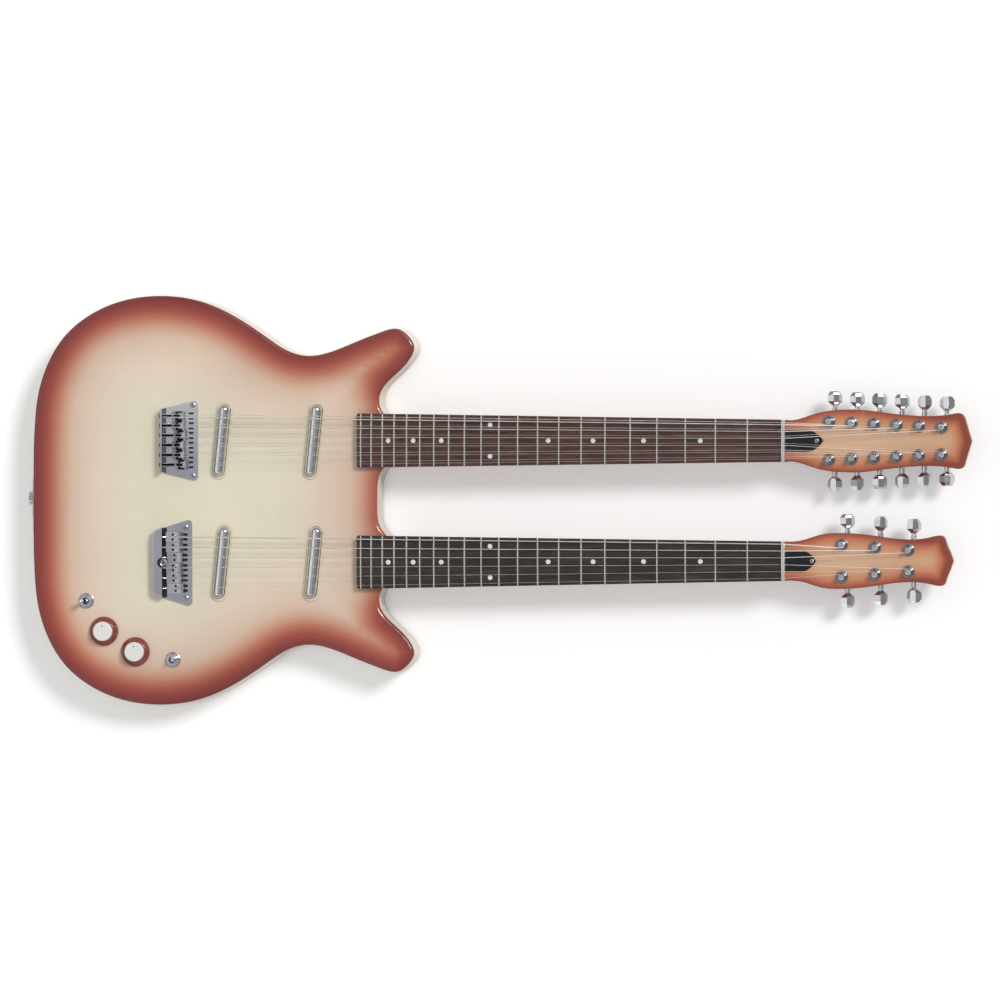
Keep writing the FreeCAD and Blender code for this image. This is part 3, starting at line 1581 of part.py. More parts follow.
def tuner_casing():
    """The sealed housing under the headstock, its sleeve, and its mounting lug."""
    low = head_under - size.case_depth
    rear = -size.case_side
    length = size.case_side + worm_offset + size.worm_radius + size.case_wall * 2
    outer = box("case_outer", length, size.case_inner_end + size.case_outer_end,
                size.case_depth, rear, -size.case_inner_end, low)
    lug = box("case_lug", size.lug_half_width * 2, size.lug_length + size.case_wall,
              size.lug_thickness, -size.lug_half_width,
              -size.case_inner_end - size.lug_length, head_under - size.lug_thickness)
    sleeve = cylinder("case_sleeve", size.sleeve_radius, size.sleeve_end - size.case_outer_end
                      + size.case_wall, worm_offset, size.case_outer_end - size.case_wall,
                      worm_level, Vector(0, 1, 0))
    hollow = box("case_hollow", length - size.case_wall * 2,
                 size.case_inner_end + size.case_outer_end - size.case_wall * 2,
                 size.case_depth + size.overrun, rear + size.case_wall,
                 size.case_wall - size.case_inner_end, low + size.case_wall)
    shaft_hole = cylinder("case_shaft_hole", size.button_shaft_radius + size.shaft_gap,
                          size.sleeve_end + size.overrun, worm_offset, 0, worm_level,
                          Vector(0, 1, 0))
    screw_hole = cylinder("case_screw_hole", size.lug_screw_radius + size.fixed_gap,
                          size.lug_thickness + size.overrun * 2, 0,
                          -size.case_inner_end - size.lug_length / 2,
                          head_under - size.lug_thickness - size.overrun)
    hollowed = without("case_shell", outer, hollow)
    whole = joined("case_whole", hollowed, lug, sleeve)
    return without("tuner_casing", whole, shaft_hole, screw_hole)


def tuner_button():
    """A faceted button on its shaft with a ring-grooved worm, along +Y from its post."""
    body = doc.addObject("PartDesign::Body", "button_head")
    rings = [
        (size.button_start, size.button_neck_half, size.button_neck_depth),
        (size.button_shoulder, size.button_half_width, size.button_half_depth),
        (size.button_rim, size.button_half_width, size.button_half_depth),
        (size.button_end, size.button_tip_half, size.button_tip_depth),
    ]
    sketches = []
    for number, (along, half, depth) in enumerate(rings):
        flat = half * size.button_flat / size.button_half_width
        corners = [(-half, 0), (-flat, -depth), (flat, -depth), (half, 0), (flat, depth),
                   (-flat, depth)]
        sketches.append(corner_sketch(body, f"button_ring_{number}", "XZ_Plane", corners,
                                      -along))
    loft = body.newObject("PartDesign::AdditiveLoft", "button_loft")
    loft.Profile = sketches[0]
    loft.Sections = sketches[1:]
    loft.Ruled = True
    body.Tip = loft
    grooves = []
    for turn in range(WORM_GROOVES):
        middle = size.worm_half_length * (2 * turn + 1 - WORM_GROOVES) / WORM_GROOVES
        grooves += [(size.worm_radius, middle - size.worm_groove),
                    (size.worm_radius - size.worm_groove, middle),
                    (size.worm_radius, middle + size.worm_groove)]
    collar_start = size.button_start - size.collar_length
    shaft = turned("button_shaft", [
        (0, -size.worm_half_length), (size.worm_radius, -size.worm_half_length), *grooves,
        (size.worm_radius, size.worm_half_length),
        (size.button_shaft_radius, size.worm_half_length),
        (size.button_shaft_radius, collar_start), (size.collar_radius, collar_start),
        (size.collar_radius, size.button_start),
        (size.button_shaft_radius, size.button_start),
        (size.button_shaft_radius, size.button_shoulder), (0, size.button_shoulder),
    ])
    lying = group("button_shaft_lying", [shaft])
    lying.Placement = Placement(Vector(0, 0, 0), Rotation(Vector(0, 0, 1), Vector(0, 1, 0)))
    return joined("tuner_button", body, lying)


def tuners():
    """Every tuner: fixed casings and bushings, turning posts and buttons."""
    bushing = tuner_bushing()
    post = tuner_post()
    button = tuner_button()
    casings = {1: tuner_casing()}
    casings[-1] = doc.addObject("Part::Mirroring", "lower_casing")
    casings[-1].Source = casings[1]
    casings[-1].Normal = Vector(0, 1, 0)
    housings = []
    for neck in NECKS:
        for number, (along, across, hand) in enumerate(post_places(neck), start=1):
            name = f"{neck.name}_{number}"
            facing = Rotation(Vector(0, 0, 1), 0 if hand == 1 else 180)
            under = place(group(f"case_{name}", [casings[hand]]), along, across)
            fixed = place(group(f"bushing_{name}", [bushing]), along, across, 0)
            housings.append(on_neck(group(f"housing_{name}", [under, fixed]), neck))
            standing = place(group(f"post_at_{name}", [post]), along, across, 0)
            node(on_neck(group(f"{neck.name}_post_{number}", [standing]), neck),
                 f"{neck.name}_post_{number}")
            turned_button = group(f"button_at_{name}", [button])
            spin = Rotation(Vector(0, 1, 0), neck.turns[number - 1])
            turned_button.Placement = Placement(Vector(0, 0, 0), facing.multiply(spin))
            place(turned_button, along + worm_offset, across, worm_level)
            node(on_neck(group(f"{neck.name}_button_{number}", [turned_button]), neck),
                 f"{neck.name}_button_{number}")
    return group("tuner_housings", housings)


# Stacked knobs, switches, jack and strap button

def skirt_profile():
    """The outer knob with its hollow shaft."""
    foot = deck + size.skirt_lift
    bore = size.inner_shaft_radius + size.shaft_gap
    return [
        (bore, deck - size.shaft_depth), (size.outer_shaft_radius, deck - size.shaft_depth),
        (size.outer_shaft_radius, deck + size.skirt_hollow),
        (size.skirt_hollow_radius, deck + size.skirt_hollow),
        (size.skirt_hollow_radius, foot), (size.skirt_radius, foot),
        (size.skirt_radius, foot + size.skirt_ring),
        (size.skirt_shoulder_radius, deck + size.skirt_shoulder),
        (size.skirt_top_radius, deck + size.skirt_height), (bore, deck + size.skirt_height),
    ]


def cap_profile():
    """The inner knob with its thin shaft."""
    foot = deck + size.skirt_height + size.cap_lift
    top = deck + size.cap_height
    low = deck - size.shaft_depth - size.outer_shaft_radius
    return [
        (0, low), (size.inner_shaft_radius, low), (size.inner_shaft_radius, foot),
        (size.cap_foot_radius, foot), (size.cap_radius, top - size.cap_round),
        (size.cap_radius - size.cap_round, top), (0, top),
    ]


def pot_profile():
    """A potentiometer case with its threaded bushing and nut."""
    bore = size.outer_shaft_radius + size.shaft_gap
    floor = deck - size.shaft_depth - size.outer_shaft_radius - size.running_gap
    low = frame_high - size.pot_depth
    return [
        (0, low), (size.pot_radius, low), (size.pot_radius, frame_high),
        (size.pot_bushing_radius, frame_high), (size.pot_bushing_radius, deck),
        (size.pot_nut_radius, deck), (size.pot_nut_radius, deck + size.pot_nut_height),
        (size.pot_bushing_radius, deck + size.pot_nut_height),
        (size.pot_bushing_radius, deck + size.pot_bushing_height),
        (bore, deck + size.pot_bushing_height), (bore, floor), (0, floor),
    ]


def switch_profile():
    """A switch's threaded bushing and nut, its bore open for the lever."""
    floor = deck - size.lever_stub - size.running_gap
    top = deck + size.switch_bushing_height
    return [
        (0, frame_high - size.switch_body_depth), (size.switch_body_half,
                                                   frame_high - size.switch_body_depth),
        (size.switch_body_half, frame_high), (size.switch_bushing_radius, frame_high),
        (size.switch_bushing_radius, deck), (size.switch_nut_radius, deck),
        (size.switch_nut_radius, deck + size.switch_nut_height),
        (size.switch_bushing_radius, deck + size.switch_nut_height),
        (size.switch_bushing_radius, top), (size.switch_bore_radius, top),
        (size.switch_bore_radius, floor), (0, floor),
    ]


def switch_lever():
    """A bat lever about its ball, upright."""
    shaft = cone("lever_bat", size.lever_low_radius, size.lever_high_radius,
                 size.lever_length)
    tip = ball("lever_tip", size.lever_high_radius, 0, 0, size.lever_length)
    pivot = ball("lever_ball", size.lever_ball_radius)
    return joined("switch_lever", shaft, tip, pivot)


def controls():
    """Knobs and levers as moving nodes, the fixed parts as one group."""
    skirt = turned("knob_skirt", skirt_profile())
    dot = cylinder("cap_dot", size.cap_dot_radius, size.cap_dot_depth * 2, 0,
                   size.cap_dot_place, deck + size.cap_height - size.cap_dot_depth)
    cap = without("knob_cap", turned("knob_cap_turned", cap_profile()), dot)
    pot = turned("stacked_pot", pot_profile())
    switch = turned("switch_case", switch_profile())
    lever = switch_lever()
    fixed = []
    up = Vector(0, 0, 1)
    for name, (along, across) in KNOBS.items():
        node(place(group(f"knob_skirt_{name}", [skirt]), along, across), f"knob_skirt_{name}")
        node(place(group(f"knob_cap_{name}", [cap]), along, across), f"knob_cap_{name}")
        fixed.append(place(group(f"pot_{name}", [pot]), along, across))
    for name, (along, across) in SWITCHES.items():
        heading = Rotation(up, float(getattr(size, f"switch_{name}_heading")))
        tilt = Rotation(Vector(0, 1, 0), float(size.lever_rest_tilt))
        leaning = group(f"switch_lever_{name}", [lever])
        leaning.Placement = Placement(Vector(0, 0, 0), heading.multiply(tilt))
        node(place(leaning, along, across, deck), f"switch_lever_{name}")
        fixed.append(place(group(f"switch_{name}", [switch]), along, across))
    fixed.append(jack())
    return group("controls_and_jack", fixed)


def jack():
    """The output jack in its cup, sunk flush in the lower side."""
    cup_floor = -size.jack_cup_depth
    bore = size.jack_bore_radius
    nut_top = cup_floor + size.jack_cup_wall + size.jack_nut_height
    rim = size.jack_cup_radius - size.jack_cup_wall
    body = turned("jack_turned", [
        (bore, -size.jack_length), (size.jack_sleeve_radius, -size.jack_length),
        (size.jack_sleeve_radius, cup_floor), (size.jack_cup_radius, cup_floor),
        (size.jack_cup_radius, 0), (rim, 0), (rim, cup_floor + size.jack_cup_wall),
        (size.jack_nut_radius, cup_floor + size.jack_cup_wall),
        (size.jack_nut_radius, nut_top), (bore, nut_top),
    ])
    whole = group("output_jack", [body])
    whole.Placement = Placement(Vector(0, 0, 0), Rotation(Vector(0, 0, 1), Vector(0, -1, 0)))
    return place(whole, jack_place, -size.body_half_width, size.jack_level)


# Screws and the strap button

def countersunk_screw(name, radius, head, length):
    """A flat-headed screw, head down, its face on the surface it is sunk into."""
    return turned(name, [
        (0, 0), (head, 0), (radius, size.countersink_depth), (radius, length), (0, length),
    ])


def domed_screw(name, radius, head, head_height, length):
    """A round-headed screw, its head standing on Z zero and its shank below."""
    return turned(name, [
        (0, -length), (radius, -length), (radius, 0), (head, 0),
        (head, head_height / 2), (head / 2, head_height), (0, head_height),
    ])


def screws_and_strap_button():
    """All the loose screws of the guitar and the button at its tail."""
    neck_screw = countersunk_screw("neck_screw", size.neck_screw_radius, size.neck_screw_head,
                                   size.neck_screw_reach)
    axis_level = deck + size.pickup_rise - size.pickup_radius
    pickup_screw = countersunk_screw(
        "pickup_screw", size.pickup_screw_radius, size.pickup_screw_head,
        axis_level - size.pickup_radius - size.running_gap)
    plate_screw = domed_screw("plate_screw", size.plate_screw_radius, size.plate_screw_head,
                              size.plate_screw_head_height, size.plate_screw_length)
    tail_screw = domed_screw("tail_screw", size.plate_screw_radius, size.tail_screw_head,
                             size.plate_screw_head_height, size.plate_screw_length)
    lug_screw = domed_screw("lug_screw", size.lug_screw_radius, size.lug_screw_head,
                            size.lug_screw_head_height,
                            size.lug_screw_length + size.lug_thickness)
    pieces = []
    for number, placement in enumerate(pickup_places()):
        pair = [place(group(f"pickup_screw_{number}_{hand + 1}", [pickup_screw]), 0,
                      size.pickup_screw_half_spread * hand) for hand in (1, -1)]
        both = group(f"pickup_screws_{number}", pair)
        both.Placement = placement
        pieces.append(both)
    for neck in NECKS:
        own = []
        for number, (along, across) in enumerate(neck_screw_places(neck)):
            own.append(place(group(f"{neck.name}_neck_screw_{number}", [neck_screw]), along,
                             across))
        for number, (along, across) in enumerate(plate_screw_places(neck)):
            own.append(place(group(f"{neck.name}_plate_screw_{number}", [plate_screw]), along,
                             across, plate_top))
        for number, (along, across, hand) in enumerate(post_places(neck)):
            screw = group(f"{neck.name}_lug_screw_{number}", [lug_screw])
            turn_about(screw, Vector(1, 0, 0), 180)
            lug = case_lug_screw(along, across, hand)
            own.append(place(screw, lug[0], lug[1], head_under - size.lug_thickness))
        if neck is six:
            own.append(place(group("tail_screw_at", [tail_screw]),
                             -size.scale_length - size.tail_screw_place, 0, plate_top))
        cover_screw = group(f"{neck.name}_cover_screw", [lug_screw])
        along = size.nut_thickness + neck.cover_length - neck.cover_screw_inset
        own.append(place(cover_screw, along, 0, head_face + size.cover_thickness))
        pieces.append(on_neck(group(f"{neck.name}_screws", own), neck))
    pieces.append(strap_button())
    return group("screws_and_strap_button", pieces)


def strap_button():
    """A turned button on its screw, standing out of the tail."""
    disc_low = size.strap_reach - size.strap_disc_thickness
    body = turned("strap_button_turned", [
        (0, -size.strap_screw_length), (size.strap_screw_radius, -size.strap_screw_length),
        (size.strap_screw_radius, size.tape_patch_thickness),
        (size.strap_stem_radius, size.tape_patch_thickness),
        (size.strap_stem_radius, disc_low),
        (size.strap_disc_radius, disc_low),
        (size.strap_disc_radius, size.strap_reach - size.tape_patch_thickness),
        (size.strap_stem_radius, size.strap_reach), (0, size.strap_reach),
    ])
    whole = group("strap_button", [body])
    whole.Placement = Placement(Vector(0, 0, 0), Rotation(Vector(0, 0, 1), Vector(-1, 0, 0)))
    return place(whole, tail, size.strap_side, size.strap_level)


# The whole guitar

node(make_body_frame(), "body_frame")
node(make_body_top(), "body_top")
node(make_body_back(), "body_back")
node(make_side_tape(), "side_tape")
node(make_neck(twelve), "twelve_neck")
node(make_neck(six), "six_neck")
node(make_fretboards(), "fretboards")
node(make_fret_markers(), "fret_markers")
node(make_frets_and_nuts(), "frets_and_nuts")
node(make_strings(), "strings")
node(bridge_plates(), "bridge_plates")
node(saddles(), "saddles")
tube_group, ring_group = pickups()
node(tube_group, "pickup_tubes")
node(ring_group, "pickup_rings")
node(truss_rods_and_covers(), "truss_rods_and_covers")
node(tuners(), "tuner_casings")
node(controls(), "controls_and_jack")
node(screws_and_strap_button(), "screws_and_strap_button")

doc.recompute()

for item in doc.Objects:
    if "Invalid" in item.State or "Error" in item.State:
        raise RuntimeError(f"{item.Label} did not build: {item.State}")
for piece in nodes:
    if piece.Shape.isNull() or not piece.Shape.isValid() or not piece.Shape.Solids:
        raise RuntimeError(f"{piece.Label} has no valid solid")

os.makedirs("parts", exist_ok=True)
for piece in nodes:
    solids = piece.Shape.Solids
    shape = solids[0] if len(solids) == 1 else Part.makeCompound(solids)
    shape.exportStep(f"parts/{piece.Label}.step")
    print(piece.Label, len(solids), "solids", round(sum(s.Volume for s in solids), 1))
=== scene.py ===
import math

import bpy
import numpy as np
from mathutils import Matrix, Vector
from mathutils.bvhtree import BVHTree


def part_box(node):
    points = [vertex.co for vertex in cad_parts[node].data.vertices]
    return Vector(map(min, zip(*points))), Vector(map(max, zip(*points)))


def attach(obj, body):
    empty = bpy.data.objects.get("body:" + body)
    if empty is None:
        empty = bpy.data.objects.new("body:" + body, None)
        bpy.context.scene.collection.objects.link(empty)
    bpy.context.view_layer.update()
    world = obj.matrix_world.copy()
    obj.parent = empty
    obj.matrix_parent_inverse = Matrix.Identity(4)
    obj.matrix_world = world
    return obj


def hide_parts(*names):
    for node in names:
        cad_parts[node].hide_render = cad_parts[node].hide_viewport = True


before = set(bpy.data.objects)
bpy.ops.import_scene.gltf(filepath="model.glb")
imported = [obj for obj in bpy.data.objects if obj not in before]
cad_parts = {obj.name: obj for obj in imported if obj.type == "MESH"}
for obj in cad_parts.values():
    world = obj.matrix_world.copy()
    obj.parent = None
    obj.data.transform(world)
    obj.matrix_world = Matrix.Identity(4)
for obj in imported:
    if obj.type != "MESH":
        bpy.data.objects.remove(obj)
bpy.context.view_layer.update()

# Double-neck guitar lying on its back, dressed for show. Lengths are metres in
# the guitar's own frame: +X along the necks, +Y to the twelve-string neck, +Z
# out of the face. Z is nought at the flat back.

MM = 0.001
MERGE = 0.001 * MM
DECK = 46.0 * MM
FRAME_TOP = 41.5 * MM
HEAD_FACE = 44.0 * MM
HEAD_ROUND = 1.2 * MM
NUT = 306.3 * MM
NUT_DEPTH = 2.4 * MM
# Where each neck's middle line meets its nut, and its lean in degrees
NECKS = {"twelve": (62.3 * MM, -0.12), "six": (-63.8 * MM, 0.22)}

# Width of the paint's fade in from an edge
BODY_FADE = 0.12
HEAD_FADE = 0.03

# Places on the face in millimetres, along and across the guitar
PICKUPS = ((-290.8, 63.6), (-191.6, 63.3), (-290.8, -66.1), (-191.6, -65.7))
PICKUP_LEAN = -5.7
PICKUP_LEVEL = 47.65
KNOBS = {"one": (-418.1, -139.4), "two": (-383.9, -161.1)}
SWITCHES = ((-437.6, -107.1), (-343.6, -169.6))

# Places at the bridges and strings, in millimetres along and across a neck
SCALE_LENGTH = 635.0
BOARD_RADIUS = 356.0
COURSES = 6
PITCH = {"twelve": 10.35, "six": 10.9}
PAIR_GAP = 3.1
PLATE_FRONT = {"twelve": 12.7, "six": 6.4}
PLATE_LEVEL = 48.0
PLATE_SLOTS = -642.5
TAIL_SLOT = -658.0
TAIL_CRATER = -659.6
ANCHOR = {"twelve": (24.3, 7.0), "six": (24.7, 4.6)}
SADDLE_BACK = {"twelve": 2.0, "six": 6.0}
SADDLE_TRAVEL = 3.0
# How much of its travel each saddle is set back, bass side first
SADDLE_SHARES = (1.0, 0.9, 0.35, 0.85, 0.7, 0.0)
SADDLE_LEVEL = 58.25
POST_RADIUS = 2.3
WINDING_LEVEL = 50.4
WINDING_ROOM = 2.3
WINDING_PITCH = 2.1
STRING_RADIUS = 0.585
# Each string's thickness as a share of the thickest, bass side first
GAUGES = {
    "twelve": ((0.46, 1.0), (0.31, 0.74), (0.22, 0.53), (0.17, 0.38), (0.30, 0.30),
               (0.215, 0.215)),
    "six": ((1.0,), (0.78,), (0.565,), (0.37,), (0.28,), (0.215,)),
}


def on_neck(neck, along, across, up):
    """Where a place in millimetres from the front of a neck's nut is on the guitar."""
    side, lean = NECKS[neck]
    turn = Matrix.Rotation(math.radians(lean), 4, "Z")
    place = Vector((along, across, up)) * MM
    return Matrix.Translation((NUT, side, 0.0)) @ turn @ place


def crest_of(neck, course):
    """How far along a neck the crest of a course's saddle is."""
    return -(SCALE_LENGTH + SADDLE_BACK[neck] + SADDLE_TRAVEL * SADDLE_SHARES[course])


def level_of(across):
    """The height of a saddle's crest, which follows the fretboard's curve."""
    return SADDLE_LEVEL - across ** 2 / (2 * BOARD_RADIUS)


# Camera, floor and light

def show_colours():
    """Colours leave the render as they are written."""
    bpy.context.scene.view_settings.view_transform = "Standard"


def show_camera():
    """The photograph's view: nearly straight down, leaning to the headstocks."""
    lean = math.radians(8.2)
    distance = 6.4
    data = bpy.data.cameras.new("camera")
    data.lens = 218.3
    data.sensor_width = 36.0
    camera = bpy.data.objects.new("camera", data)
    target = Vector((7.3 * MM, 0.3 * MM, 43.0 * MM))
    camera.location = target + Vector((math.sin(lean), 0, math.cos(lean))) * distance
    camera.rotation_euler = (0, lean, 0)
    bpy.context.collection.objects.link(camera)
    bpy.context.scene.camera = camera


def show_floor():
    """A plain pale floor that keeps the guitar's shadow."""
    start_fresh()
    bpy.ops.mesh.primitive_plane_add(size=12.0, location=(0, 0, -0.2 * MM))
    floor = bpy.context.active_object
    floor.name = "floor"
    paper = Finish("floor_paper", Base_Color=(0.80, 0.80, 0.80), Roughness=0.9)
    seen = paper.node("ShaderNodeLightPath", output="Is Camera Ray")
    glow = paper.node("ShaderNodeEmission",
                      values={"Color": (1.0, 1.0, 1.0), "Strength": 0.24})
    lit = paper.node("ShaderNodeAddShader", values={0: paper.surface(), 1: glow})
    paper.finish(paper.node("ShaderNodeMixShader",
                            values={0: seen, 1: paper.surface(), 2: lit}))
    floor.data.materials.append(paper.material)


def show_light():
    """A white surround with soft panels that only gloss mirrors, and one soft lamp."""
    world = bpy.data.worlds.new("studio")
    bpy.context.scene.world = world
    world.use_nodes = True
    sky = Nodes(world.node_tree)
    even = Value(sky, world.node_tree.nodes["Background"].outputs[0])
    sky.feed(even.socket.node.inputs["Color"], (1.0, 0.99, 0.975))
    sky.feed(even.socket.node.inputs["Strength"], 0.60)
    white = sky.node("ShaderNodeBackground", values={"Color": (1.0, 1.0, 1.0)})
    toward = sky.node("ShaderNodeTexCoord", output="Generated")
    x, y, z = (sky.node("ShaderNodeSeparateXYZ", values={0: toward}, output=axis)
               for axis in "XYZ")
    height = z.at_least(0.05)
    across, along = y / height, x / height
    key = along.between(0.12, 0.75, 0.10) * across.between(0.30, 1.7, 0.15) * 1.9
    strip = along.between(-1.7, -0.30, 0.12) * across.between(-2.0, 2.0, 0.3) * 0.62
    front = across.between(-3.0, -0.7, 0.2) * along.between(-1.0, 2.0, 0.3) * 0.35
    overhead = (z - 0.86).within() * 1.6
    glow = z.between(-0.1, 2.0, 0.35) * 0.20 + 0.06 + key + strip + front + overhead
    tint = sky.mix(z.between(0.9, 3.0, 0.1), (1.0, 1.0, 1.0), (0.90, 0.91, 1.0))
    panels = sky.node("ShaderNodeBackground", values={"Color": tint, "Strength": glow})
    path = {name: sky.node("ShaderNodeLightPath", output=name)
            for name in ("Is Glossy Ray", "Is Transmission Ray", "Is Camera Ray")}
    seen = sky.node("ShaderNodeMixShader",
                    values={0: path["Is Glossy Ray"], 1: even, 2: panels})
    for name in ("Is Transmission Ray", "Is Camera Ray"):
        seen = sky.node("ShaderNodeMixShader",
                        values={0: path[name], 1: seen, 2: white})
    sky.feed(world.node_tree.nodes["World Output"].inputs["Surface"], seen)

    lamp = bpy.data.lights.new("lamp", "SUN")
    lamp.energy = 1.75
    lamp.angle = math.radians(16)
    hung = bpy.data.objects.new("lamp", lamp)
    hung.rotation_euler = (math.radians(-24), math.radians(38), 0)
    bpy.context.collection.objects.link(hung)


# Materials

def set_stops(ramp, stops):
    """Sets a colour ramp's stops from places and colours."""
    elements = ramp.color_ramp.elements
    while len(elements) > 1:
        elements.remove(elements[-1])
    elements[0].position, elements[0].color = stops[0][0], (*stops[0][1], 1)
    for place, colour in stops[1:]:
        elements.new(place).color = (*colour, 1)


def paint(red, green, blue):
    """A colour as it is seen on the photograph, as light amounts."""
    return tuple(
        share / 12.92 if share <= 0.04045 else ((share + 0.055) / 1.055) ** 2.4
        for share in (red / 255, green / 255, blue / 255)
    )


class Value:
    """One socket that can stand in a sum."""

    def __init__(self, nodes, socket):
        self.nodes = nodes
        self.socket = socket

    def sum_with(self, operation, *others):
        """A Maths node of this value and others, in order."""
        return self.nodes.node("ShaderNodeMath", {"operation": operation},
                               dict(enumerate((self, *others))))

    def __add__(self, other):
        return self.sum_with("ADD", other)

    def __sub__(self, other):
        return self.sum_with("SUBTRACT", other)

    def __mul__(self, other):
        return self.sum_with("MULTIPLY", other)

    def __truediv__(self, other):
        return self.sum_with("DIVIDE", other)

    def __rsub__(self, other):
        return self.nodes.node("ShaderNodeMath", {"operation": "SUBTRACT"},
                               {0: other, 1: self})

    __radd__ = __add__
    __rmul__ = __mul__

    def at_least(self, limit):
        return self.sum_with("MAXIMUM", limit)

    def above(self, limit):
        return self.sum_with("GREATER_THAN", limit)

    def within(self):
        """Held between nought and one."""
        return self.nodes.node("ShaderNodeClamp", values={0: self})

    def rising(self, low, soft):
        """Nought up to a limit, rising to one over a soft width."""
        return ((self - low) * (1 / soft)).within()

    def between(self, low, high, soft):
        """One between two limits, fading to nought over a soft width."""
        return self.rising(low, soft) * ((high - self) * (1 / soft)).within()


class Nodes:
    """A tree of shader nodes that are added in one way."""

    def __init__(self, tree):
        self.tree = tree

    def feed(self, socket, setting):
        """Links a socket, or sets its number or colour."""
        if isinstance(setting, Value):
            self.tree.links.new(setting.socket, socket)
        elif isinstance(setting, tuple) and len(setting) == 3 and socket.type == "RGBA":
            socket.default_value = (*setting, 1)
        else:
            socket.default_value = setting

    def node(self, kind, settings=None, values=None, output=0):
        """Adds a node: first its settings or stops, then its sockets."""
        added = self.tree.nodes.new(kind)
        for name, setting in (settings or {}).items():
            if name == "stops":
                set_stops(added, setting)
            else:
                setattr(added, name, setting)
        for name, setting in (values or {}).items():
            self.feed(added.inputs[name], setting)
        return Value(self, added.outputs[output])

    def place(self, scale=(1, 1, 1)):
        """The piece's own coordinates, stretched by a scale."""
        where = self.node("ShaderNodeTexCoord", output="Object")
        return self.node("ShaderNodeMapping", values={"Vector": where, "Scale": scale})

    def along(self, axis):
        """One of the piece's own coordinates."""
        return self.node("ShaderNodeSeparateXYZ", values={0: self.place()}, output=axis)

    def noise(self, scale, detail=4.0, stretch=(1, 1, 1), roughness=0.5,
              distortion=0.0):
        """Smooth random values over the piece."""
        return self.node("ShaderNodeTexNoise", values={
            "Vector": self.place(stretch), "Scale": scale, "Detail": detail,
            "Roughness": roughness, "Distortion": distortion})

    def measured(self, name):
        """A number that the piece's mesh carries under a name."""
        return self.node("ShaderNodeAttribute", {"attribute_name": name}, output="Fac")

    def ramp(self, value, stops):
        """A colour for each value."""
        return self.node("ShaderNodeValToRGB", {"stops": stops}, {0: value})

    def mix(self, share, first, second, blend="MIX"):
        """Two colours mixed by a share."""
        return self.node("ShaderNodeMix", {"data_type": "RGBA", "blend_type": blend},
                         {0: share, 6: first, 7: second}, output=2)


class Finish(Nodes):
    """One material and the nodes that make it."""

    def __init__(self, name, **settings):
        self.material = bpy.data.materials.new(name)
        self.material.use_nodes = True
        super().__init__(self.material.node_tree)
        self.shader = self.tree.nodes["Principled BSDF"]
        self.set(**settings)

    def set(self, **settings):
        """Sets or links sockets of the surface by name, with _ for a space."""
        for name, setting in settings.items():
            self.feed(self.shader.inputs[name.replace("_", " ")], setting)

    def surface(self):
        """What the surface gives so far."""
        return Value(self, self.shader.outputs[0])

    def finish(self, surface):
        """Makes a shader the material's surface."""
        self.feed(self.tree.nodes["Material Output"].inputs["Surface"], surface)

    def bump(self, height, depth, strength=1.0):
        """Relief from a height, its full depth in metres."""
        relief = self.node("ShaderNodeBump", values={
            "Height": height, "Distance": depth, "Strength": strength})
        self.set(Normal=relief)


def gloss_paint(finish, colour, dust=0.02):
    """A clear-coated paint over a colour, with faint handling marks."""
    mottle = finish.noise(9.0, 5.0)
    fine = finish.noise(420.0, 2.0)
    tone = finish.ramp(mottle, [(0.3, (0.93, 0.93, 0.93)), (0.7, (1.04, 1.02, 1.0))])
    finish.set(Base_Color=finish.mix(1.0, colour, tone, "MULTIPLY"),
               Roughness=mottle * 0.10 + (0.20 + dust),
               Coat_Weight=0.6, Coat_Roughness=0.06)
    finish.bump(fine, 0.02 * MM, 0.25)


def body_sunburst():
    """Copper at the rim of the body, through orange, to a cream middle."""
    finish = Finish("body_sunburst")
    # The cream comes nearer the edge ahead of the waist, and nearest at the necks
    front = finish.along("X").rising(-0.20, 0.06)
    front = front * finish.along("Y").between(-0.132, 0.132, 0.03)
    waist = finish.along("X").rising(-0.30, 0.10)
    away = finish.measured("edge_distance") + front * 0.0125 + waist * 0.003
    wander = finish.noise(14.0, 2.0) - 0.5
    stops = [
        (0.0, paint(116, 38, 32)), (0.07, paint(138, 57, 48)),
        (0.117, paint(156, 72, 58)), (0.15, paint(170, 92, 70)),
        (0.192, paint(184, 115, 91)),
        (0.238, paint(198, 144, 121)), (0.292, paint(208, 168, 145)),
        (0.35, paint(215, 187, 166)), (0.458, paint(220, 198, 180)),
        (0.625, paint(223, 208, 188)), (0.917, paint(223, 217, 195)),
    ]
    gloss_paint(finish, finish.ramp(away * (1 / BODY_FADE) + wander * 0.02, stops))
    return finish.material


def head_sunburst():
    """Copper at a headstock's edge and a peach middle."""
    finish = Finish("head_sunburst")
    away = finish.measured("edge_distance")
    wander = finish.noise(30.0, 2.0) - 0.5
    # Darker towards the tip, which the six-string headstock reaches sooner
    shorter = (0.0 - finish.along("Y")).above(0.0) * 0.020
    tip = (finish.along("X") + shorter).rising(0.440, 0.060)
    stops = [
        (0.0, paint(138, 62, 40)), (0.08, paint(160, 82, 56)),
        (0.2, paint(186, 110, 78)), (0.34, paint(199, 137, 100)),
        (0.53, paint(206, 158, 122)), (0.8, paint(208, 170, 138)),
        (1.0, paint(209, 174, 144)),
    ]
    place = away * (1 / HEAD_FADE) + wander * 0.05 - tip * 0.20
    gloss_paint(finish, finish.ramp(place, stops))
    return finish.material


def copper_paint():
    """The same copper all over, for the back."""
    finish = Finish("copper_paint")
    cloud = finish.noise(5.0, 4.0)
    gloss_paint(finish, finish.ramp(cloud, [(0.3, paint(140, 74, 62)),
                                            (0.7, paint(154, 86, 72))]))
    return finish.material


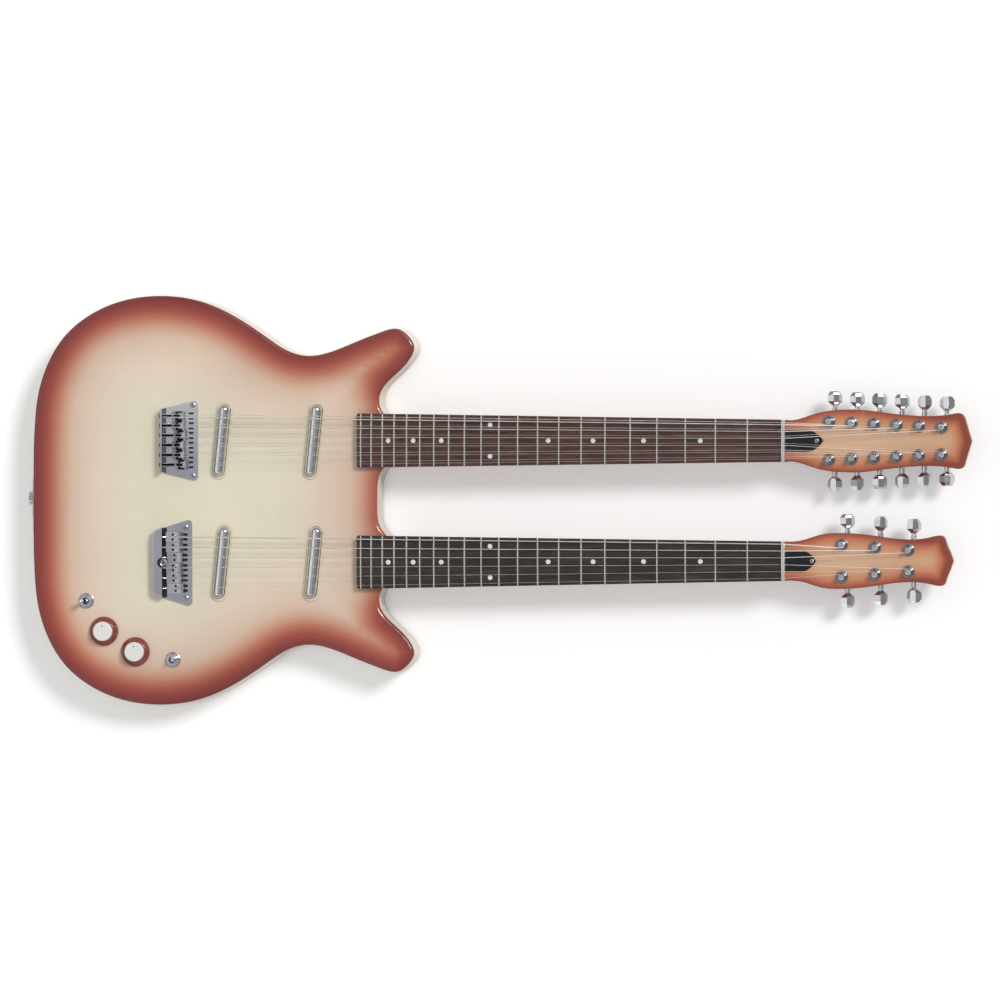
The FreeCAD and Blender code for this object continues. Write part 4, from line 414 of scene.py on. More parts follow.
def textured_tape():
    """Pale cloth-backed tape with a fine pebble."""
    finish = Finish("textured_tape")
    weave = finish.node("ShaderNodeTexVoronoi",
                        values={"Vector": finish.place(), "Scale": 900.0})
    stain = finish.noise(12.0, 5.0)
    finish.set(Base_Color=finish.ramp(stain, [(0.25, paint(222, 216, 202)),
                                              (0.75, paint(240, 237, 228))]),
               Roughness=stain * 0.2 + 0.45)
    finish.bump(weave, 0.12 * MM, 0.6)
    return finish.material


def rosewood():
    """Oiled rosewood, warmer on the twelve-string board than on the other."""
    finish = Finish("rosewood")
    grain = finish.noise(60.0, 6.0, (0.35, 6.0, 6.0), 0.6, 0.6)
    pores = finish.noise(900.0, 3.0, (0.06, 1.0, 1.0), 0.6)
    warm = finish.ramp(grain, [(0.3, paint(50, 28, 26)), (0.5, paint(76, 46, 41)),
                               (0.7, paint(100, 66, 57))])
    dark = finish.ramp(grain, [(0.3, paint(27, 21, 20)), (0.5, paint(44, 34, 30)),
                               (0.7, paint(66, 53, 46))])
    wood = finish.mix(finish.along("Y").above(0.0), dark, warm)
    pits = finish.ramp(pores, [(0.36, (0.35, 0.33, 0.32)), (0.46, (1.0, 1.0, 1.0))])
    finish.set(Base_Color=finish.mix(1.0, wood, pits, "MULTIPLY"),
               Roughness=grain * 0.25 + 0.30)
    finish.bump(pores, 0.08 * MM, 0.5)
    return finish.material


def pearl():
    """Pale dots with a soft cloud in them."""
    finish = Finish("pearl")
    cloud = finish.noise(500.0, 3.0, distortion=1.5)
    finish.set(Base_Color=finish.ramp(cloud, [(0.3, paint(206, 204, 204)),
                                              (0.7, paint(240, 238, 236))]),
               Roughness=cloud * 0.15 + 0.15, Coat_Weight=0.3)
    return finish.material


def metal(name, colour, roughness, wear=0.12, marks=0.003, stretch=(1, 1, 1)):
    """A bare or plated metal with faint wiping marks."""
    finish = Finish(name)
    haze = finish.noise(40.0, 5.0, stretch)
    fine = finish.noise(1500.0, 2.0, stretch)
    dull = tuple(share * 0.9 for share in colour)
    shade = finish.ramp(haze, [(0.3, dull), (0.7, colour)])
    finish.set(Base_Color=shade, Metallic=1.0, Roughness=haze * wear + roughness)
    finish.bump(fine, marks * MM, 0.3)
    return finish.material


def chrome(name="chrome"):
    """Bright plating, nearly free of marks."""
    return metal(name, (0.78, 0.78, 0.81), 0.02, 0.05)


def plate_chrome():
    """The bridge plates' duller, cooler plating: a painted highlight towards +Y,
    painted shade at the flange's foot.
    """
    finish = Finish("plate_chrome")
    haze = finish.noise(40.0, 5.0, (1, 0.3, 1))
    fine = finish.noise(1500.0, 2.0, (1, 0.3, 1))
    plain = finish.ramp(haze, [(0.3, (0.60, 0.60, 0.65)), (0.7, (0.68, 0.68, 0.73))])
    # Painted highlight: the plating pales to white towards +Y
    upper = finish.along("Y").rising(0.045, 0.060)
    lit = finish.mix(upper, plain, (1.0, 1.0, 1.0))
    # Painted shade: dark at the foot of the flange, on the twelve-string plate
    foot = finish.along("X").between(-0.3535, -0.3503, 0.0006)
    foot = foot * finish.along("Y").above(0.0)
    shade = finish.mix(foot * 0.8, lit, (0.10, 0.10, 0.13))
    finish.set(Base_Color=shade, Metallic=1.0, Roughness=haze * 0.14 + 0.10)
    finish.bump(fine, 0.006 * MM, 0.3)
    return finish.material


def saddle_steel(name="saddle_steel"):
    """Grey plated castings."""
    return metal(name, (0.50, 0.50, 0.54), 0.22, 0.18, 0.01)


def black_metal():
    """Blackened springs and screws."""
    return metal("black_metal", (0.012, 0.012, 0.014), 0.42, 0.15)


def screw_metal():
    """Nickel screw heads, duller than the plating."""
    return metal("screw_nickel", (0.46, 0.46, 0.48), 0.24, 0.16, 0.006)


def fret_metal():
    """Polished fret wire."""
    return metal("fret_wire_metal", (0.80, 0.79, 0.76), 0.16, 0.15)


def nut_metal():
    """The pale metal of the nuts, let into the dark end of the board."""
    finish = Finish("nut_metal")
    haze = finish.noise(40.0, 5.0)
    bare = finish.along("X").above(NUT - NUT_DEPTH)
    shade = finish.ramp(haze, [(0.3, (0.80, 0.79, 0.77)), (0.7, (0.90, 0.89, 0.87))])
    finish.set(Base_Color=finish.mix(bare, paint(58, 44, 40), shade),
               Metallic=bare, Roughness=haze * 0.18 + 0.24)
    finish.bump(finish.noise(1500.0, 2.0), 0.003 * MM, 0.3)
    return finish.material


def wound_wire():
    """String wire with its winding as a fine ripple, with a painted sheen past the nut
    that makes it paler and less metallic.
    """
    finish = Finish("wound_wire")
    ripple = finish.node("ShaderNodeTexWave",
                         {"wave_type": "BANDS", "bands_direction": "X"},
                         {"Vector": finish.place(), "Scale": 700.0})
    haze = finish.noise(60.0, 3.0)
    # Painted sheen: past the nut the wire is paler and less metallic
    sheen_past_nut = finish.along("X").above(NUT)
    shade = finish.ramp(haze, [(0.3, (0.70, 0.68, 0.63)), (0.7, (0.90, 0.88, 0.83))])
    finish.set(Base_Color=finish.mix(sheen_past_nut, shade, (0.95, 0.94, 0.92)),
               Metallic=1.0 - sheen_past_nut * 0.45, Roughness=haze * 0.2 + 0.24)
    finish.bump(ripple, 0.05 * MM, 0.5)
    return finish.material


def plastic(name, colour, roughness, spread=0.06, coat=0.25):
    """A moulded plastic with a faint unevenness."""
    finish = Finish(name)
    cloud = finish.noise(90.0, 4.0)
    shade = finish.ramp(cloud, [(0.3, tuple(share * (1 - spread) for share in colour)),
                                (0.7, colour)])
    finish.set(Base_Color=shade, Roughness=cloud * 0.12 + roughness, Coat_Weight=coat)
    finish.bump(cloud, 0.03 * MM, 0.3)
    return finish.material


def ring_plastic():
    """Pale plastic round the pickups that lets a little of the paint through."""
    return plastic("ring_plastic", paint(214, 204, 180), 0.25)


def black_gloss():
    """Polished black covers."""
    return plastic("black_gloss", paint(12, 11, 11), 0.10, 0.2, 0.15)


def knob_copper():
    """Copper-brown knob skirts."""
    return plastic("knob_copper", paint(132, 66, 56), 0.12, 0.10, 0.5)


def knob_white():
    """White knob caps."""
    return plastic("knob_white", paint(226, 224, 221), 0.25, 0.03)


def painted_shade_black():
    """Dull black for painted shade inside slots, pockets and wells."""
    return plastic("painted_shade_black", paint(20, 19, 22), 0.6, 0.3, 0.0)


def dot_grey():
    """The grey fill of a knob's dot."""
    return plastic("dot_grey", paint(105, 103, 104), 0.4)


def bare_wood():
    """Unpainted softwood inside the body."""
    finish = Finish("bare_wood")
    grain = finish.noise(25.0, 6.0, (0.15, 3.0, 1.0), 0.6, 0.4)
    finish.set(Base_Color=finish.ramp(grain, [(0.3, paint(168, 132, 92)),
                                              (0.7, paint(205, 174, 130))]),
               Roughness=grain * 0.2 + 0.6)
    finish.bump(grain, 0.2 * MM, 0.5)
    return finish.material


# Modelling by hand

def start_fresh():
    """Leaves nothing selected."""
    bpy.ops.object.select_all(action="DESELECT")


def pick(*pieces):
    """Selects pieces, the first of them active."""
    start_fresh()
    for piece in pieces:
        piece.select_set(True)
    bpy.context.view_layer.objects.active = pieces[0]


def edit(piece, chosen=None):
    """Opens a piece for editing with all, or the chosen, corners selected."""
    pick(piece)
    bpy.ops.object.mode_set(mode="EDIT")
    bpy.ops.mesh.select_mode(type="VERT")
    bpy.ops.mesh.select_all(action="SELECT" if chosen is None else "DESELECT")
    if chosen is not None:
        bpy.ops.object.mode_set(mode="OBJECT")
        for vertex in piece.data.vertices:
            vertex.select = chosen(vertex.co)
        bpy.ops.object.mode_set(mode="EDIT")


def done():
    """Closes the piece that is being edited."""
    bpy.ops.object.mode_set(mode="OBJECT")
    return bpy.context.view_layer.objects.active


def named(piece, name):
    """Names a piece and its mesh."""
    piece.name = name
    piece.data.name = name
    return piece


def joined(name, pieces):
    """Makes several pieces one."""
    pick(*pieces)
    if len(pieces) > 1:
        bpy.ops.object.join()
    return named(bpy.context.active_object, name)


def copied(name, *sources):
    """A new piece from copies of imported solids, their loose triangles merged."""
    copies = []
    for source in sources:
        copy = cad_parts[source].copy()
        copy.data = copy.data.copy()
        copy.parent = None
        copy.hide_render = copy.hide_viewport = False
        bpy.context.collection.objects.link(copy)
        copies.append(copy)
    piece = joined(name, copies)
    piece.data.materials.clear()
    edit(piece)
    bpy.ops.mesh.customdata_custom_splitnormals_clear()
    bpy.ops.mesh.remove_doubles(threshold=MERGE)
    bpy.ops.mesh.dissolve_limited(angle_limit=math.radians(0.4))
    return done()


def reach(solid):
    """The lowest and highest corner of a solid's box."""
    places = np.array([vertex.co for vertex in solid.data.vertices])
    return Vector(places.min(0)), Vector(places.max(0))


def solids_of(piece):
    """Parts a piece into its loose solids."""
    edit(piece)
    bpy.ops.mesh.separate(type="LOOSE")
    bpy.ops.object.mode_set(mode="OBJECT")
    return list(bpy.context.selected_objects)


def sorted_out(piece, kind_of):
    """Parts a piece into its solids and joins those of one kind again."""
    kinds = {}
    for solid in solids_of(piece):
        kinds.setdefault(kind_of(*reach(solid)), []).append(solid)
    return {kind: joined(kind, solids) for kind, solids in kinds.items()}


def eased(piece, width=0.0, segments=2, sharp=35.0):
    """Takes the sharpness off a piece's edges and smooths what is round."""
    pick(piece)
    if width:
        bevel = piece.modifiers.new("eased", "BEVEL")
        bevel.width = width
        bevel.segments = segments
        bevel.limit_method = "ANGLE"
        bevel.angle_limit = math.radians(sharp)
        bevel.use_clamp_overlap = True
        bpy.ops.object.modifier_apply(modifier=bevel.name)
    bpy.ops.object.shade_smooth_by_angle(angle=math.radians(sharp))
    return piece


def worn(piece, material, *nodes, body="guitar"):
    """Gives a piece its shading, material and body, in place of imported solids."""
    pick(piece)
    fair = piece.modifiers.new("fair", "WEIGHTED_NORMAL")
    fair.keep_sharp = True
    bpy.ops.object.modifier_apply(modifier=fair.name)
    piece.data.materials.clear()
    piece.data.materials.append(material)
    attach(piece, body)
    if nodes:
        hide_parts(*nodes)
    return piece


def hollowed(piece, cutters):
    """Cuts away what other pieces fill."""
    cutter = joined("cutter", cutters)
    pick(piece)
    cut = piece.modifiers.new("hollowed", "BOOLEAN")
    cut.object = cutter
    cut.operation = "DIFFERENCE"
    cut.solver = "EXACT"
    bpy.ops.object.modifier_apply(modifier=cut.name)
    bpy.data.objects.remove(cutter)
    return piece


def slab(low, high):
    """A block between two corners."""
    start_fresh()
    middle = (Vector(low) + Vector(high)) / 2
    bpy.ops.mesh.primitive_cube_add(size=1.0, location=middle,
                                    scale=tuple(Vector(high) - Vector(low)))
    bpy.ops.object.transform_apply(location=True, rotation=True, scale=True)
    return bpy.context.active_object


def turned(name, profile, segments=48, closed=True):
    """A lathe-turned piece about +Z, raised through radius and height pairs."""
    start_fresh()
    radius, height = profile[0]
    bpy.ops.mesh.primitive_circle_add(vertices=segments, radius=radius,
                                      location=(0, 0, height), fill_type="NOTHING")
    piece = named(bpy.context.active_object, name)
    bpy.ops.object.transform_apply(location=True, rotation=True, scale=True)
    bpy.ops.object.mode_set(mode="EDIT")
    bpy.ops.mesh.select_all(action="SELECT")
    for wide, high in profile[1:]:
        bpy.ops.mesh.extrude_region_move(
            TRANSFORM_OT_translate={"value": (0, 0, high - height)})
        share = wide / radius
        bpy.ops.transform.resize(value=(share, share, 1), center_override=(0, 0, high))
        radius, height = wide, high
    if closed:
        bpy.ops.mesh.edge_face_add()
        bpy.ops.mesh.select_all(action="DESELECT")
        done()
        for vertex in piece.data.vertices[:segments]:
            vertex.select = True
        bpy.ops.object.mode_set(mode="EDIT")
        bpy.ops.mesh.edge_face_add()
        bpy.ops.mesh.select_all(action="SELECT")
    bpy.ops.mesh.normals_make_consistent(inside=False)
    return done()


def ring(name, profile, segments):
    """A lathe-turned ring whose profile ends where it starts."""
    edit(turned(name, profile, segments, False))
    bpy.ops.mesh.remove_doubles(threshold=MERGE)
    bpy.ops.mesh.normals_make_consistent(inside=False)
    return done()


def coiled(name, wire, radius, turns, pitch):
    """An open coil of round wire about +Z, from the origin up, its ends closed."""
    start_fresh()
    bpy.ops.mesh.primitive_circle_add(vertices=10, radius=wire,
                                      rotation=(math.radians(90), 0, 0),
                                      location=(radius, 0, 0))
    coil = named(bpy.context.active_object, name)
    bpy.ops.object.transform_apply(location=True, rotation=True, scale=True)
    sweep = coil.modifiers.new("sweep", "SCREW")
    sweep.iterations = turns
    sweep.steps = sweep.render_steps = 28
    sweep.screw_offset = pitch
    bpy.ops.object.modifier_apply(modifier=sweep.name)
    edit(coil)
    bpy.ops.mesh.fill_holes(sides=10)
    bpy.ops.mesh.select_all(action="SELECT")
    bpy.ops.mesh.normals_make_consistent(inside=False)
    return done()


def set_at(piece, place, turn=None):
    """Moves a piece's mesh to its place, turned first by a rotation matrix."""
    spin = turn.to_4x4() if turn else Matrix()
    piece.data.transform(Matrix.Translation(place) @ spin)
    return piece


def again(piece, name):
    """A copy of a piece with a mesh of its own."""
    copy = piece.copy()
    copy.data = piece.data.copy()
    bpy.context.collection.objects.link(copy)
    return named(copy, name)


def discard(*pieces):
    """Takes away pieces that have been copied or replaced."""
    for piece in pieces:
        bpy.data.objects.remove(piece)


# Body and necks

def cut_into_cells(piece, step, low, high):
    """Cuts a piece along and across into cells between two corners."""
    edit(piece)
    for axis in (0, 1):
        normal = [0.0, 0.0, 0.0]
        normal[axis] = 1.0
        for number in range(int((high[axis] - low[axis]) / step) + 1):
            point = [0.0, 0.0, 0.0]
            point[axis] = low[axis] + step * number
            bpy.ops.mesh.select_all(action="SELECT")
            bpy.ops.mesh.bisect(plane_co=point, plane_no=normal)
    done()


def carry_distance(piece, distances):
    """Stores each corner's distance from the edge on the piece's mesh."""
    layer = piece.data.attributes.new("edge_distance", "FLOAT", "POINT")
    layer.data.foreach_set("value", distances)


def sunburst_top():
    """The painted front board."""
    piece = copied("sunburst_top", "body_top")
    cut_into_cells(piece, 7.0 * MM, *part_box("body_top"))
    tape = BVHTree.FromObject(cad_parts["side_tape"],
                              bpy.context.evaluated_depsgraph_get())
    distances = []
    for vertex in piece.data.vertices:
        place = Vector((vertex.co.x, vertex.co.y, FRAME_TOP - 5.0 * MM))
        distances.append(tape.find_nearest(place)[3])
    carry_distance(piece, distances)
    worn(eased(piece, sharp=40.0), body_sunburst(), "body_top")


def outline_runs(piece, level):
    """Start and end of each edge of a mesh that lies at one level."""
    vertices = piece.data.vertices
    runs = []
    for edge in piece.data.edges:
        start, end = (vertices[index].co for index in edge.vertices)
        if abs(start.z - level) < 0.02 * MM and abs(end.z - level) < 0.02 * MM:
            runs.append(((start.x, start.y), (end.x, end.y)))
    return np.array(runs)


def distances_to(runs, points):
    """How far each point lies from the nearest of many short runs."""
    start = runs[:, 0][None]
    step = (runs[:, 1] - runs[:, 0])[None]
    away = points[:, None] - start
    length = np.maximum((step * step).sum(2), 1e-12)
    share = np.clip((away * step).sum(2) / length, 0, 1)
    return np.linalg.norm(away - step * share[..., None], axis=2).min(1)


def painted_necks():
    """Both necks with their shaded headstocks."""
    finish = head_sunburst()
    for neck in NECKS:
        node = f"{neck}_neck"
        piece = copied(f"{neck}_neck_painted", node)
        runs = outline_runs(piece, HEAD_FACE - HEAD_ROUND)
        low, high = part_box(node)
        cut_into_cells(piece, 4.0 * MM, (NUT - 4.0 * MM, low[1], 0), high)
        corners = np.array([vertex.co for vertex in piece.data.vertices])
        distances = distances_to(runs, corners[:, :2])
        beside = (corners[:, 2] < HEAD_FACE - 1.0 * MM) | (corners[:, 0] < NUT)
        distances[beside] = 0.0
        carry_distance(piece, distances)
        worn(eased(piece, sharp=38.0), finish, node)


def boards_and_frets():
    """Fretboards, dots, frets and nuts."""
    worn(eased(copied("rosewood_boards", "fretboards"), 0.25 * MM), rosewood(),
         "fretboards")
    worn(eased(copied("pearl_dots", "fret_markers")), pearl(), "fret_markers")

    def kind_of(low, high):
        return "metal_nuts" if high.x > 300 * MM else "fret_wires"

    kinds = sorted_out(copied("fret_metalwork", "frets_and_nuts"), kind_of)
    worn(eased(kinds["fret_wires"], sharp=50.0), fret_metal(), "frets_and_nuts")
    worn(eased(kinds["metal_nuts"], 0.15 * MM), nut_metal(), "frets_and_nuts")


def body_sides():
    """Frame, back board and side tape."""
    for name, node, finish in (("wooden_frame", "body_frame", bare_wood),
                               ("painted_back", "body_back", copper_paint),
                               ("cloth_tape", "side_tape", textured_tape)):
        worn(eased(copied(name, node), sharp=40.0), finish(), node)


# Pickups

def pickups():
    """Four plated tubes with a seam round the middle, in their pale rings."""
    start_fresh()
    radius, half = 6.25 * MM, 38.0 * MM
    bpy.ops.mesh.primitive_uv_sphere_add(segments=64, ring_count=32, radius=radius,
                                         rotation=(math.radians(90), 0, 0))
    tube = bpy.context.active_object
    bpy.ops.object.transform_apply(location=True, rotation=True, scale=True)
    for side in (1, -1):
        edit(tube, lambda place: place.y * side > 0.01 * MM)
        bpy.ops.transform.translate(value=(0, side * (half - radius), 0))
        done()
    edit(tube)
    for place in (-0.28, -0.12, 0.12, 0.28):
        bpy.ops.mesh.select_all(action="SELECT")
        bpy.ops.mesh.bisect(plane_co=(0, place * MM, 0), plane_no=(0, 1, 0))
    done()
    edit(tube, lambda place: abs(place.y) < 0.2 * MM)
    bpy.ops.transform.resize(value=(0.965, 1, 0.965), center_override=(0, 0, 0))
    done()
    turn = Matrix.Rotation(math.radians(PICKUP_LEAN), 3, "Z")
    tubes = []
    for along, across in PICKUPS:
        place = Vector((along, across, PICKUP_LEVEL)) * MM
        tubes.append(set_at(again(tube, "tube"), place, turn))
    discard(tube)
    worn(eased(joined("plated_tubes", tubes), sharp=25.0), chrome(), "pickup_tubes")
    worn(eased(copied("pale_rings", "pickup_rings"), 0.35 * MM), ring_plastic(),
         "pickup_rings")


# Bridges

def bridges():
    """Plates, saddles with their screws and springs, and the strings' ends."""
    worn(eased(copied("plates", "bridge_plates"), 0.3 * MM, 3), plate_chrome(),
         "bridge_plates")

    def kind_of(low, high):
        span = high - low
        if span.y > 6 * MM:
            return "saddle_blocks_twelve" if low.y > 0 else "saddle_blocks_six"
        if span.x > 13 * MM:
            return "intonation_screws"
        return "saddle_springs" if span.x > 5 * MM else "height_screws"

    kinds = sorted_out(copied("saddle_set", "saddles"), kind_of)
    steel = saddle_steel()
    dark = black_metal()
    blocks = [pocketed(block) for block in solids_of(kinds["saddle_blocks_twelve"])]
    worn(eased(joined("saddle_blocks_twelve", blocks), 0.3 * MM, 2), steel, "saddles")
    blocks = [levelled(block) for block in solids_of(kinds["saddle_blocks_six"])]
    worn(eased(joined("saddle_blocks_six", blocks), 0.35 * MM, 3), steel, "saddles")
    worn(eased(kinds["height_screws"], 0.2 * MM), dark, "saddles")
    worn(eased(kinds["intonation_screws"], 0.25 * MM), dark, "saddles")
    coils = [tighter(coil) for coil in solids_of(kinds["saddle_springs"])]
    worn(eased(joined("saddle_springs", coils), sharp=60.0), dark, "saddles")
    # Black sheets painted as the shade in slots, pockets, notches and the tail slot
    painted_shade_sheets()
    crest_domes()
    string_ends()


def tighter(plain):
    """A spring of more turns in the place of a packed one, along its screw."""
    low, high = reach(plain)
    discard(plain)
    wire, turns = 0.40 * MM, 8
    pitch = (high.x - low.x - 2 * wire) / turns
    spring = coiled("spring", wire, 1.38 * MM, turns, pitch)
    start = Vector((low.x + wire, (low.y + high.y) / 2, (low.z + high.z) / 2))
    return set_at(spring, start, Matrix.Rotation(math.radians(90), 3, "Y"))


def pocketed(block):
    """A saddle with its open pocket over the screw and a narrower nose."""
    low, high = reach(block)
    middle = (low.y + high.y) / 2
    cutters = [slab((low.x + 2.2 * MM, middle - 1.65 * MM, low.z + 1.0 * MM),
                    (low.x + 9.6 * MM, middle + 1.65 * MM, high.z + 1.0 * MM))]
    for side in (low.y, high.y):
        cutters.append(slab((low.x + 4.0 * MM, side - 1.7 * MM, low.z - 1.0 * MM),
                            (high.x - 1.2 * MM, side + 1.7 * MM, high.z + 1.0 * MM)))
    for cutter in cutters:
        hollowed(block, [cutter])
    return block


def levelled(block):
    """A saddle whose nose falls less steeply in front of its crest."""
    low, high = reach(block)
    nose = high.x - 0.5 * MM
    edit(block, lambda place: place.x > nose and place.z > low.z + 3.0 * MM)
    bpy.ops.transform.translate(value=(0, 0, 1.15 * MM))
    return done()


def courses(neck):
    """Each course of a neck with its place across it, bass side first."""
    for course in range(COURSES):
        yield course, PITCH[neck] * ((COURSES - 1) / 2 - course)


def painted_shade_sheets():
    """Black sheets painted as the shade in the plates' slots, the tail slot, the
    saddles' pockets and notches, and the tail screw's crater.
    """
    # A thin dark sheet of painted shade, eased at its edges
    def floor(long, wide, high, ease=0.08):
        half = Vector((long / 2, wide / 2, 0)) * MM
        return eased(slab(-half, half + Vector((0, 0, high * MM))), ease * MM)

    pad = floor(4.9, 2.5, 0.35)
    pocket = floor(7.2, 3.2, 0.6)
    notch = floor(7.4, 1.8, 0.5)
    shade_sheets = []
    for neck in NECKS:
        for course, across in courses(neck):
            for side in (1, -1):
                place = on_neck(neck, PLATE_FRONT[neck] + PLATE_SLOTS,
                                across + 2.5 * side, 46.02)
                shade_sheets.append(set_at(again(pad, "slot_shade"), place))
            if neck == "twelve":
                rear = crest_of(neck, course) - 10.0
                place = on_neck(neck, rear + 5.9, across, 50.52)
                shade_sheets.append(set_at(again(pocket, "pocket_shade"), place))
                for side in (1, -1):
                    place = on_neck(neck, rear + 7.9, across + 4.25 * side, 48.02)
                    shade_sheets.append(set_at(again(notch, "notch_shade"), place))
    # Painted shadow: a dark strip along the tail slot, where the tail bar shades it
    strip = floor(3.9, 74.0, 1.2, 0.1)
    turn = Matrix.Rotation(math.radians(NECKS["six"][1]), 3, "Z")
    shade_sheets.append(set_at(strip, on_neck("six", TAIL_SLOT, 0.0, 46.85), turn))
    # Painted shade: a dark ring in the crater round the tail screw
    crater = ring("crater_shade", [(4.3 * MM, 0), (5.5 * MM, 0), (5.5 * MM, 0.3 * MM),
                                   (4.3 * MM, 0.3 * MM), (4.3 * MM, 0)], 48)
    shade_sheets.append(set_at(crater, on_neck("six", TAIL_CRATER, 0.0, 48.03)))
    discard(pad, pocket, notch)
    worn(eased(joined("shade_sheets_black", shade_sheets)), painted_shade_black())


def crest_domes():
    """A bright stud beside each string on the six-string saddles, on a flat black disc
    painted as the shade of a well.
    """
    stud = turned("stud", [(1.15 * MM, 0), (1.15 * MM, 0.5 * MM), (1.0 * MM, 0.9 * MM),
                           (0.7 * MM, 1.2 * MM), (0.3 * MM, 1.35 * MM)], 24)
    # Painted shade: a flat black disc for the dark of the well
    well = turned("well", [(1.75 * MM, 0), (1.75 * MM, 0.25 * MM)], 24)
    studs, wells = [], []
    for course, across in courses("six"):
        along = crest_of("six", course) - 0.6
        level = level_of(across)
        wells.append(set_at(again(well, "well"),
                            on_neck("six", along + 0.5, across + 1.2, level - 0.4)))
        studs.append(set_at(again(stud, "stud"),
                            on_neck("six", along, across + 1.8, level - 0.6)))
    discard(stud, well)
    worn(eased(joined("stud_well_shades", wells)), painted_shade_black())
    worn(eased(joined("saddle_studs", studs)), chrome("stud_chrome"))


def string_ends():
    """The twisted end of each string, ahead of where it is held."""
    twists = []
    for neck in NECKS:
        back, rise = ANCHOR[neck]
        for course, across in courses(neck):
            gauges = GAUGES[neck][course]
            for index, gauge in enumerate(gauges):
                radius = STRING_RADIUS * gauge
                beside = across + PAIR_GAP * ((len(gauges) - 1) / 2 - index)
                start = on_neck(neck, -SCALE_LENGTH - back, beside, PLATE_LEVEL + rise)
                end = on_neck(neck, crest_of(neck, course), beside,
                              level_of(across) + radius)
                thin = max(radius * 1.2, 0.34)
                rings = [((thin + 0.26 * (number % 2)) * MM, (0.1 + 0.34 * number) * MM)
                         for number in range(15)]
                twist = turned("string_end", rings, 14)
                heading = (end - start).to_track_quat("Z", "Y").to_matrix()
                twists.append(set_at(twist, start, heading))
    worn(eased(joined("string_ends", twists), sharp=60.0), chrome("string_end_chrome"))


# Screws

def cross_recess(width, depth):
    """The cutter for a crossed recess, its top a little over the origin."""
    parts = []
    for wide, long in ((0.26, 1.0), (1.0, 0.26)):
        blade = slab((-width * wide, -width * long, -depth),
                     (width * wide, width * long, depth))
        edit(blade, lambda place: place.z < 0)
        bpy.ops.transform.resize(value=(0.45, 0.45, 1), center_override=(0, 0, -depth))
        done()
        parts.append(blade)
    return parts


def screws():
    """Screw heads with crossed recesses, and the strap button at the tail."""
    def kind_of(low, high):
        return "strap_holder" if low.x < -490 * MM else "cross_screws"

    kinds = sorted_out(copied("fastenings", "screws_and_strap_button"), kind_of)
    worn(eased(kinds["strap_holder"], 0.5 * MM, 3), chrome("strap_chrome"),
         "screws_and_strap_button")
    finished = []
    for number, screw in enumerate(solids_of(kinds["cross_screws"])):
        low, high = reach(screw)
        head = min(high.x - low.x, high.y - low.y) / 2
        up = high.z > 40 * MM
        top = high.z if up else low.z
        cutters = cross_recess(head * 0.56, head * 0.5)
        turn = Matrix.Rotation(0.9 * number, 3, "Z")
        if not up:
            turn = turn @ Matrix.Rotation(math.pi, 3, "X")
        place = Vector(((low.x + high.x) / 2, (low.y + high.y) / 2, top))
        eased(screw, 0.3 * MM, 3)
        for cutter in cutters:
            hollowed(screw, [set_at(cutter, place, turn)])
        finished.append(screw)
    worn(eased(joined("cross_screws", finished), sharp=32.0), screw_metal(),
         "screws_and_strap_button")


# Tuners

def tuners():
    """Casings with their collars, and every turning post and button."""
    plated = chrome("tuner_chrome")
    # The collars take a darker copy of the plating: painted shade standing in for their
    # dark reflections
    shaded_plating = metal("bushing_shaded_chrome", (0.36, 0.36, 0.37), 0.10, 0.10)

    def kind_of(low, high):
        return "post_bushings" if high.z > HEAD_FACE else "tuner_housings"

    kinds = sorted_out(copied("tuner_fixings", "tuner_casings"), kind_of)
    worn(eased(kinds["post_bushings"], 0.6 * MM, 4), shaded_plating, "tuner_casings")
    worn(eased(kinds["tuner_housings"], 0.3 * MM, 2), plated, "tuner_casings")
    for neck, count in (("twelve", 12), ("six", 6)):
        for number in range(1, count + 1):
            for kind, width in (("post", 0.15), ("button", 0.35)):
                node = f"{neck}_{kind}_{number}"
                worn(eased(copied(f"{node}_plated", node), width * MM, 3, 25.0), plated,
                     node, body=node)


def windings():
    """Each string's turns round its post, as one coil."""
    wire = wound_wire()
    for neck in NECKS:
        gauges = [gauge for course in GAUGES[neck] for gauge in course]
        for count, gauge in enumerate(gauges):
            upper = count < len(gauges) / 2
            number = count + 1 if upper else len(gauges) * 3 // 2 - count
            node = f"{neck}_post_{number}"
            low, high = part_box(node)
            radius = STRING_RADIUS * gauge
            pitch = WINDING_PITCH * radius
            turns = max(2, min(6, int(WINDING_ROOM / pitch)))
            coil = coiled(f"winding_{node}", radius * MM, (POST_RADIUS + radius) * MM,
                          turns, pitch * MM)
            foot = Vector(((low[0] + high[0]) / 2, (low[1] + high[1]) / 2,
                           (WINDING_LEVEL - pitch / 2 * turns) * MM))
            worn(eased(set_at(coil, foot), sharp=60.0), wire, body=node)


def covers():
    """Black covers over the rod nuts, and the rods."""
    def kind_of(low, high):
        return "black_covers" if low.z > HEAD_FACE - 0.5 * MM else "steel_rods"

    kinds = sorted_out(copied("rods_and_covers", "truss_rods_and_covers"), kind_of)
    worn(eased(kinds["black_covers"], 0.3 * MM, 3), black_gloss(),
         "truss_rods_and_covers")
    worn(eased(kinds["steel_rods"]), saddle_steel("rod_steel"), "truss_rods_and_covers")


# Controls

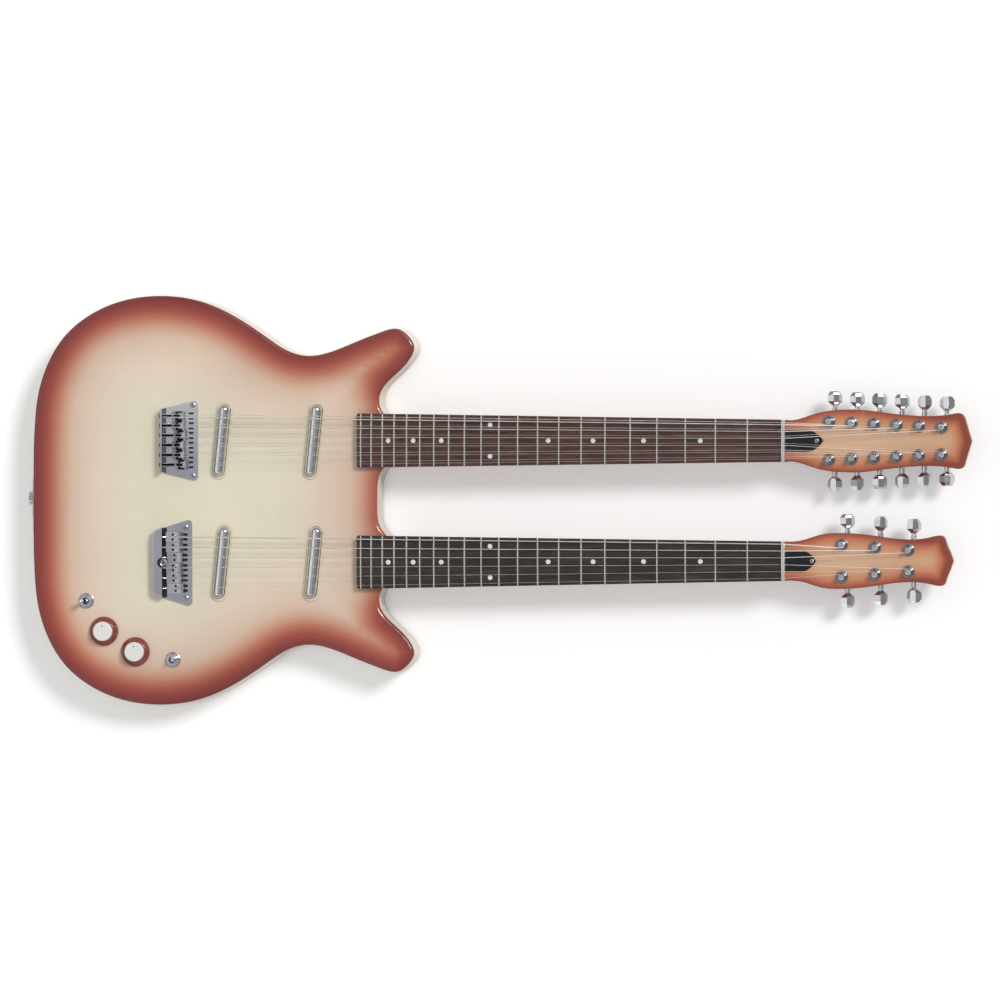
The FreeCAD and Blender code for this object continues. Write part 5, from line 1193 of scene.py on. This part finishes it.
def controls():
    """Stacked knobs, toggle switches and the output jack."""
    skirt_finish, cap_finish = knob_copper(), knob_white()
    plated = chrome("control_chrome")
    for number, (along, across) in KNOBS.items():
        skirt, cap, lever = (f"{kind}_{number}"
                             for kind in ("knob_skirt", "knob_cap", "switch_lever"))
        worn(eased(copied(f"copper_skirt_{number}", skirt), 0.5 * MM, 3), skirt_finish,
             skirt, body=skirt)
        worn(eased(copied(f"white_cap_{number}", cap), 0.12 * MM, 2), cap_finish,
             cap, body=cap)
        dot = turned(f"cap_dot_{number}", [(0.72 * MM, 0), (0.72 * MM, 0.3 * MM),
                                           (0.6 * MM, 0.38 * MM)], 24)
        set_at(dot, (along * MM, (across + 5.6) * MM, DECK + 11.0 * MM))
        worn(eased(dot), dot_grey(), body=cap)
        worn(eased(copied(f"bat_lever_{number}", lever), sharp=40.0), plated,
             lever, body=lever)
    worn(eased(copied("switches_and_jack", "controls_and_jack"), 0.3 * MM, 2), plated,
         "controls_and_jack")
    lock_washers()


def lock_washers():
    """A toothed washer round each switch's nut."""
    teeth = 28
    profile = [(6.9 * MM, 0), (8.5 * MM, 0), (8.5 * MM, 0.35 * MM),
               (7.6 * MM, 0.7 * MM), (6.9 * MM, 0.7 * MM), (6.9 * MM, 0)]
    washer = ring("lock_washer", profile, teeth * 2)
    for number in range(teeth):
        heading = (number + 0.5) * math.tau / teeth
        edit(washer, lambda place: place.xy.length > 8.0 * MM and math.cos(
            math.atan2(place.y, place.x) - heading) > math.cos(math.pi / teeth / 1.9))
        bpy.ops.transform.resize(value=(0.93, 0.93, 1), center_override=(0, 0, 0))
        done()
    washers = [set_at(again(washer, "lock_washer"), (along * MM, across * MM, DECK))
               for along, across in SWITCHES]
    discard(washer)
    worn(eased(joined("lock_washers", washers), sharp=25.0),
         metal("washer_nickel", (0.40, 0.39, 0.38), 0.16, 0.14))


# The scene

show_colours()
show_camera()
show_floor()
show_light()
sunburst_top()
body_sides()
painted_necks()
boards_and_frets()
worn(eased(copied("taut_strings", "strings"), sharp=50.0), wound_wire(), "strings")
pickups()
bridges()
screws()
tuners()
windings()
covers()
controls()
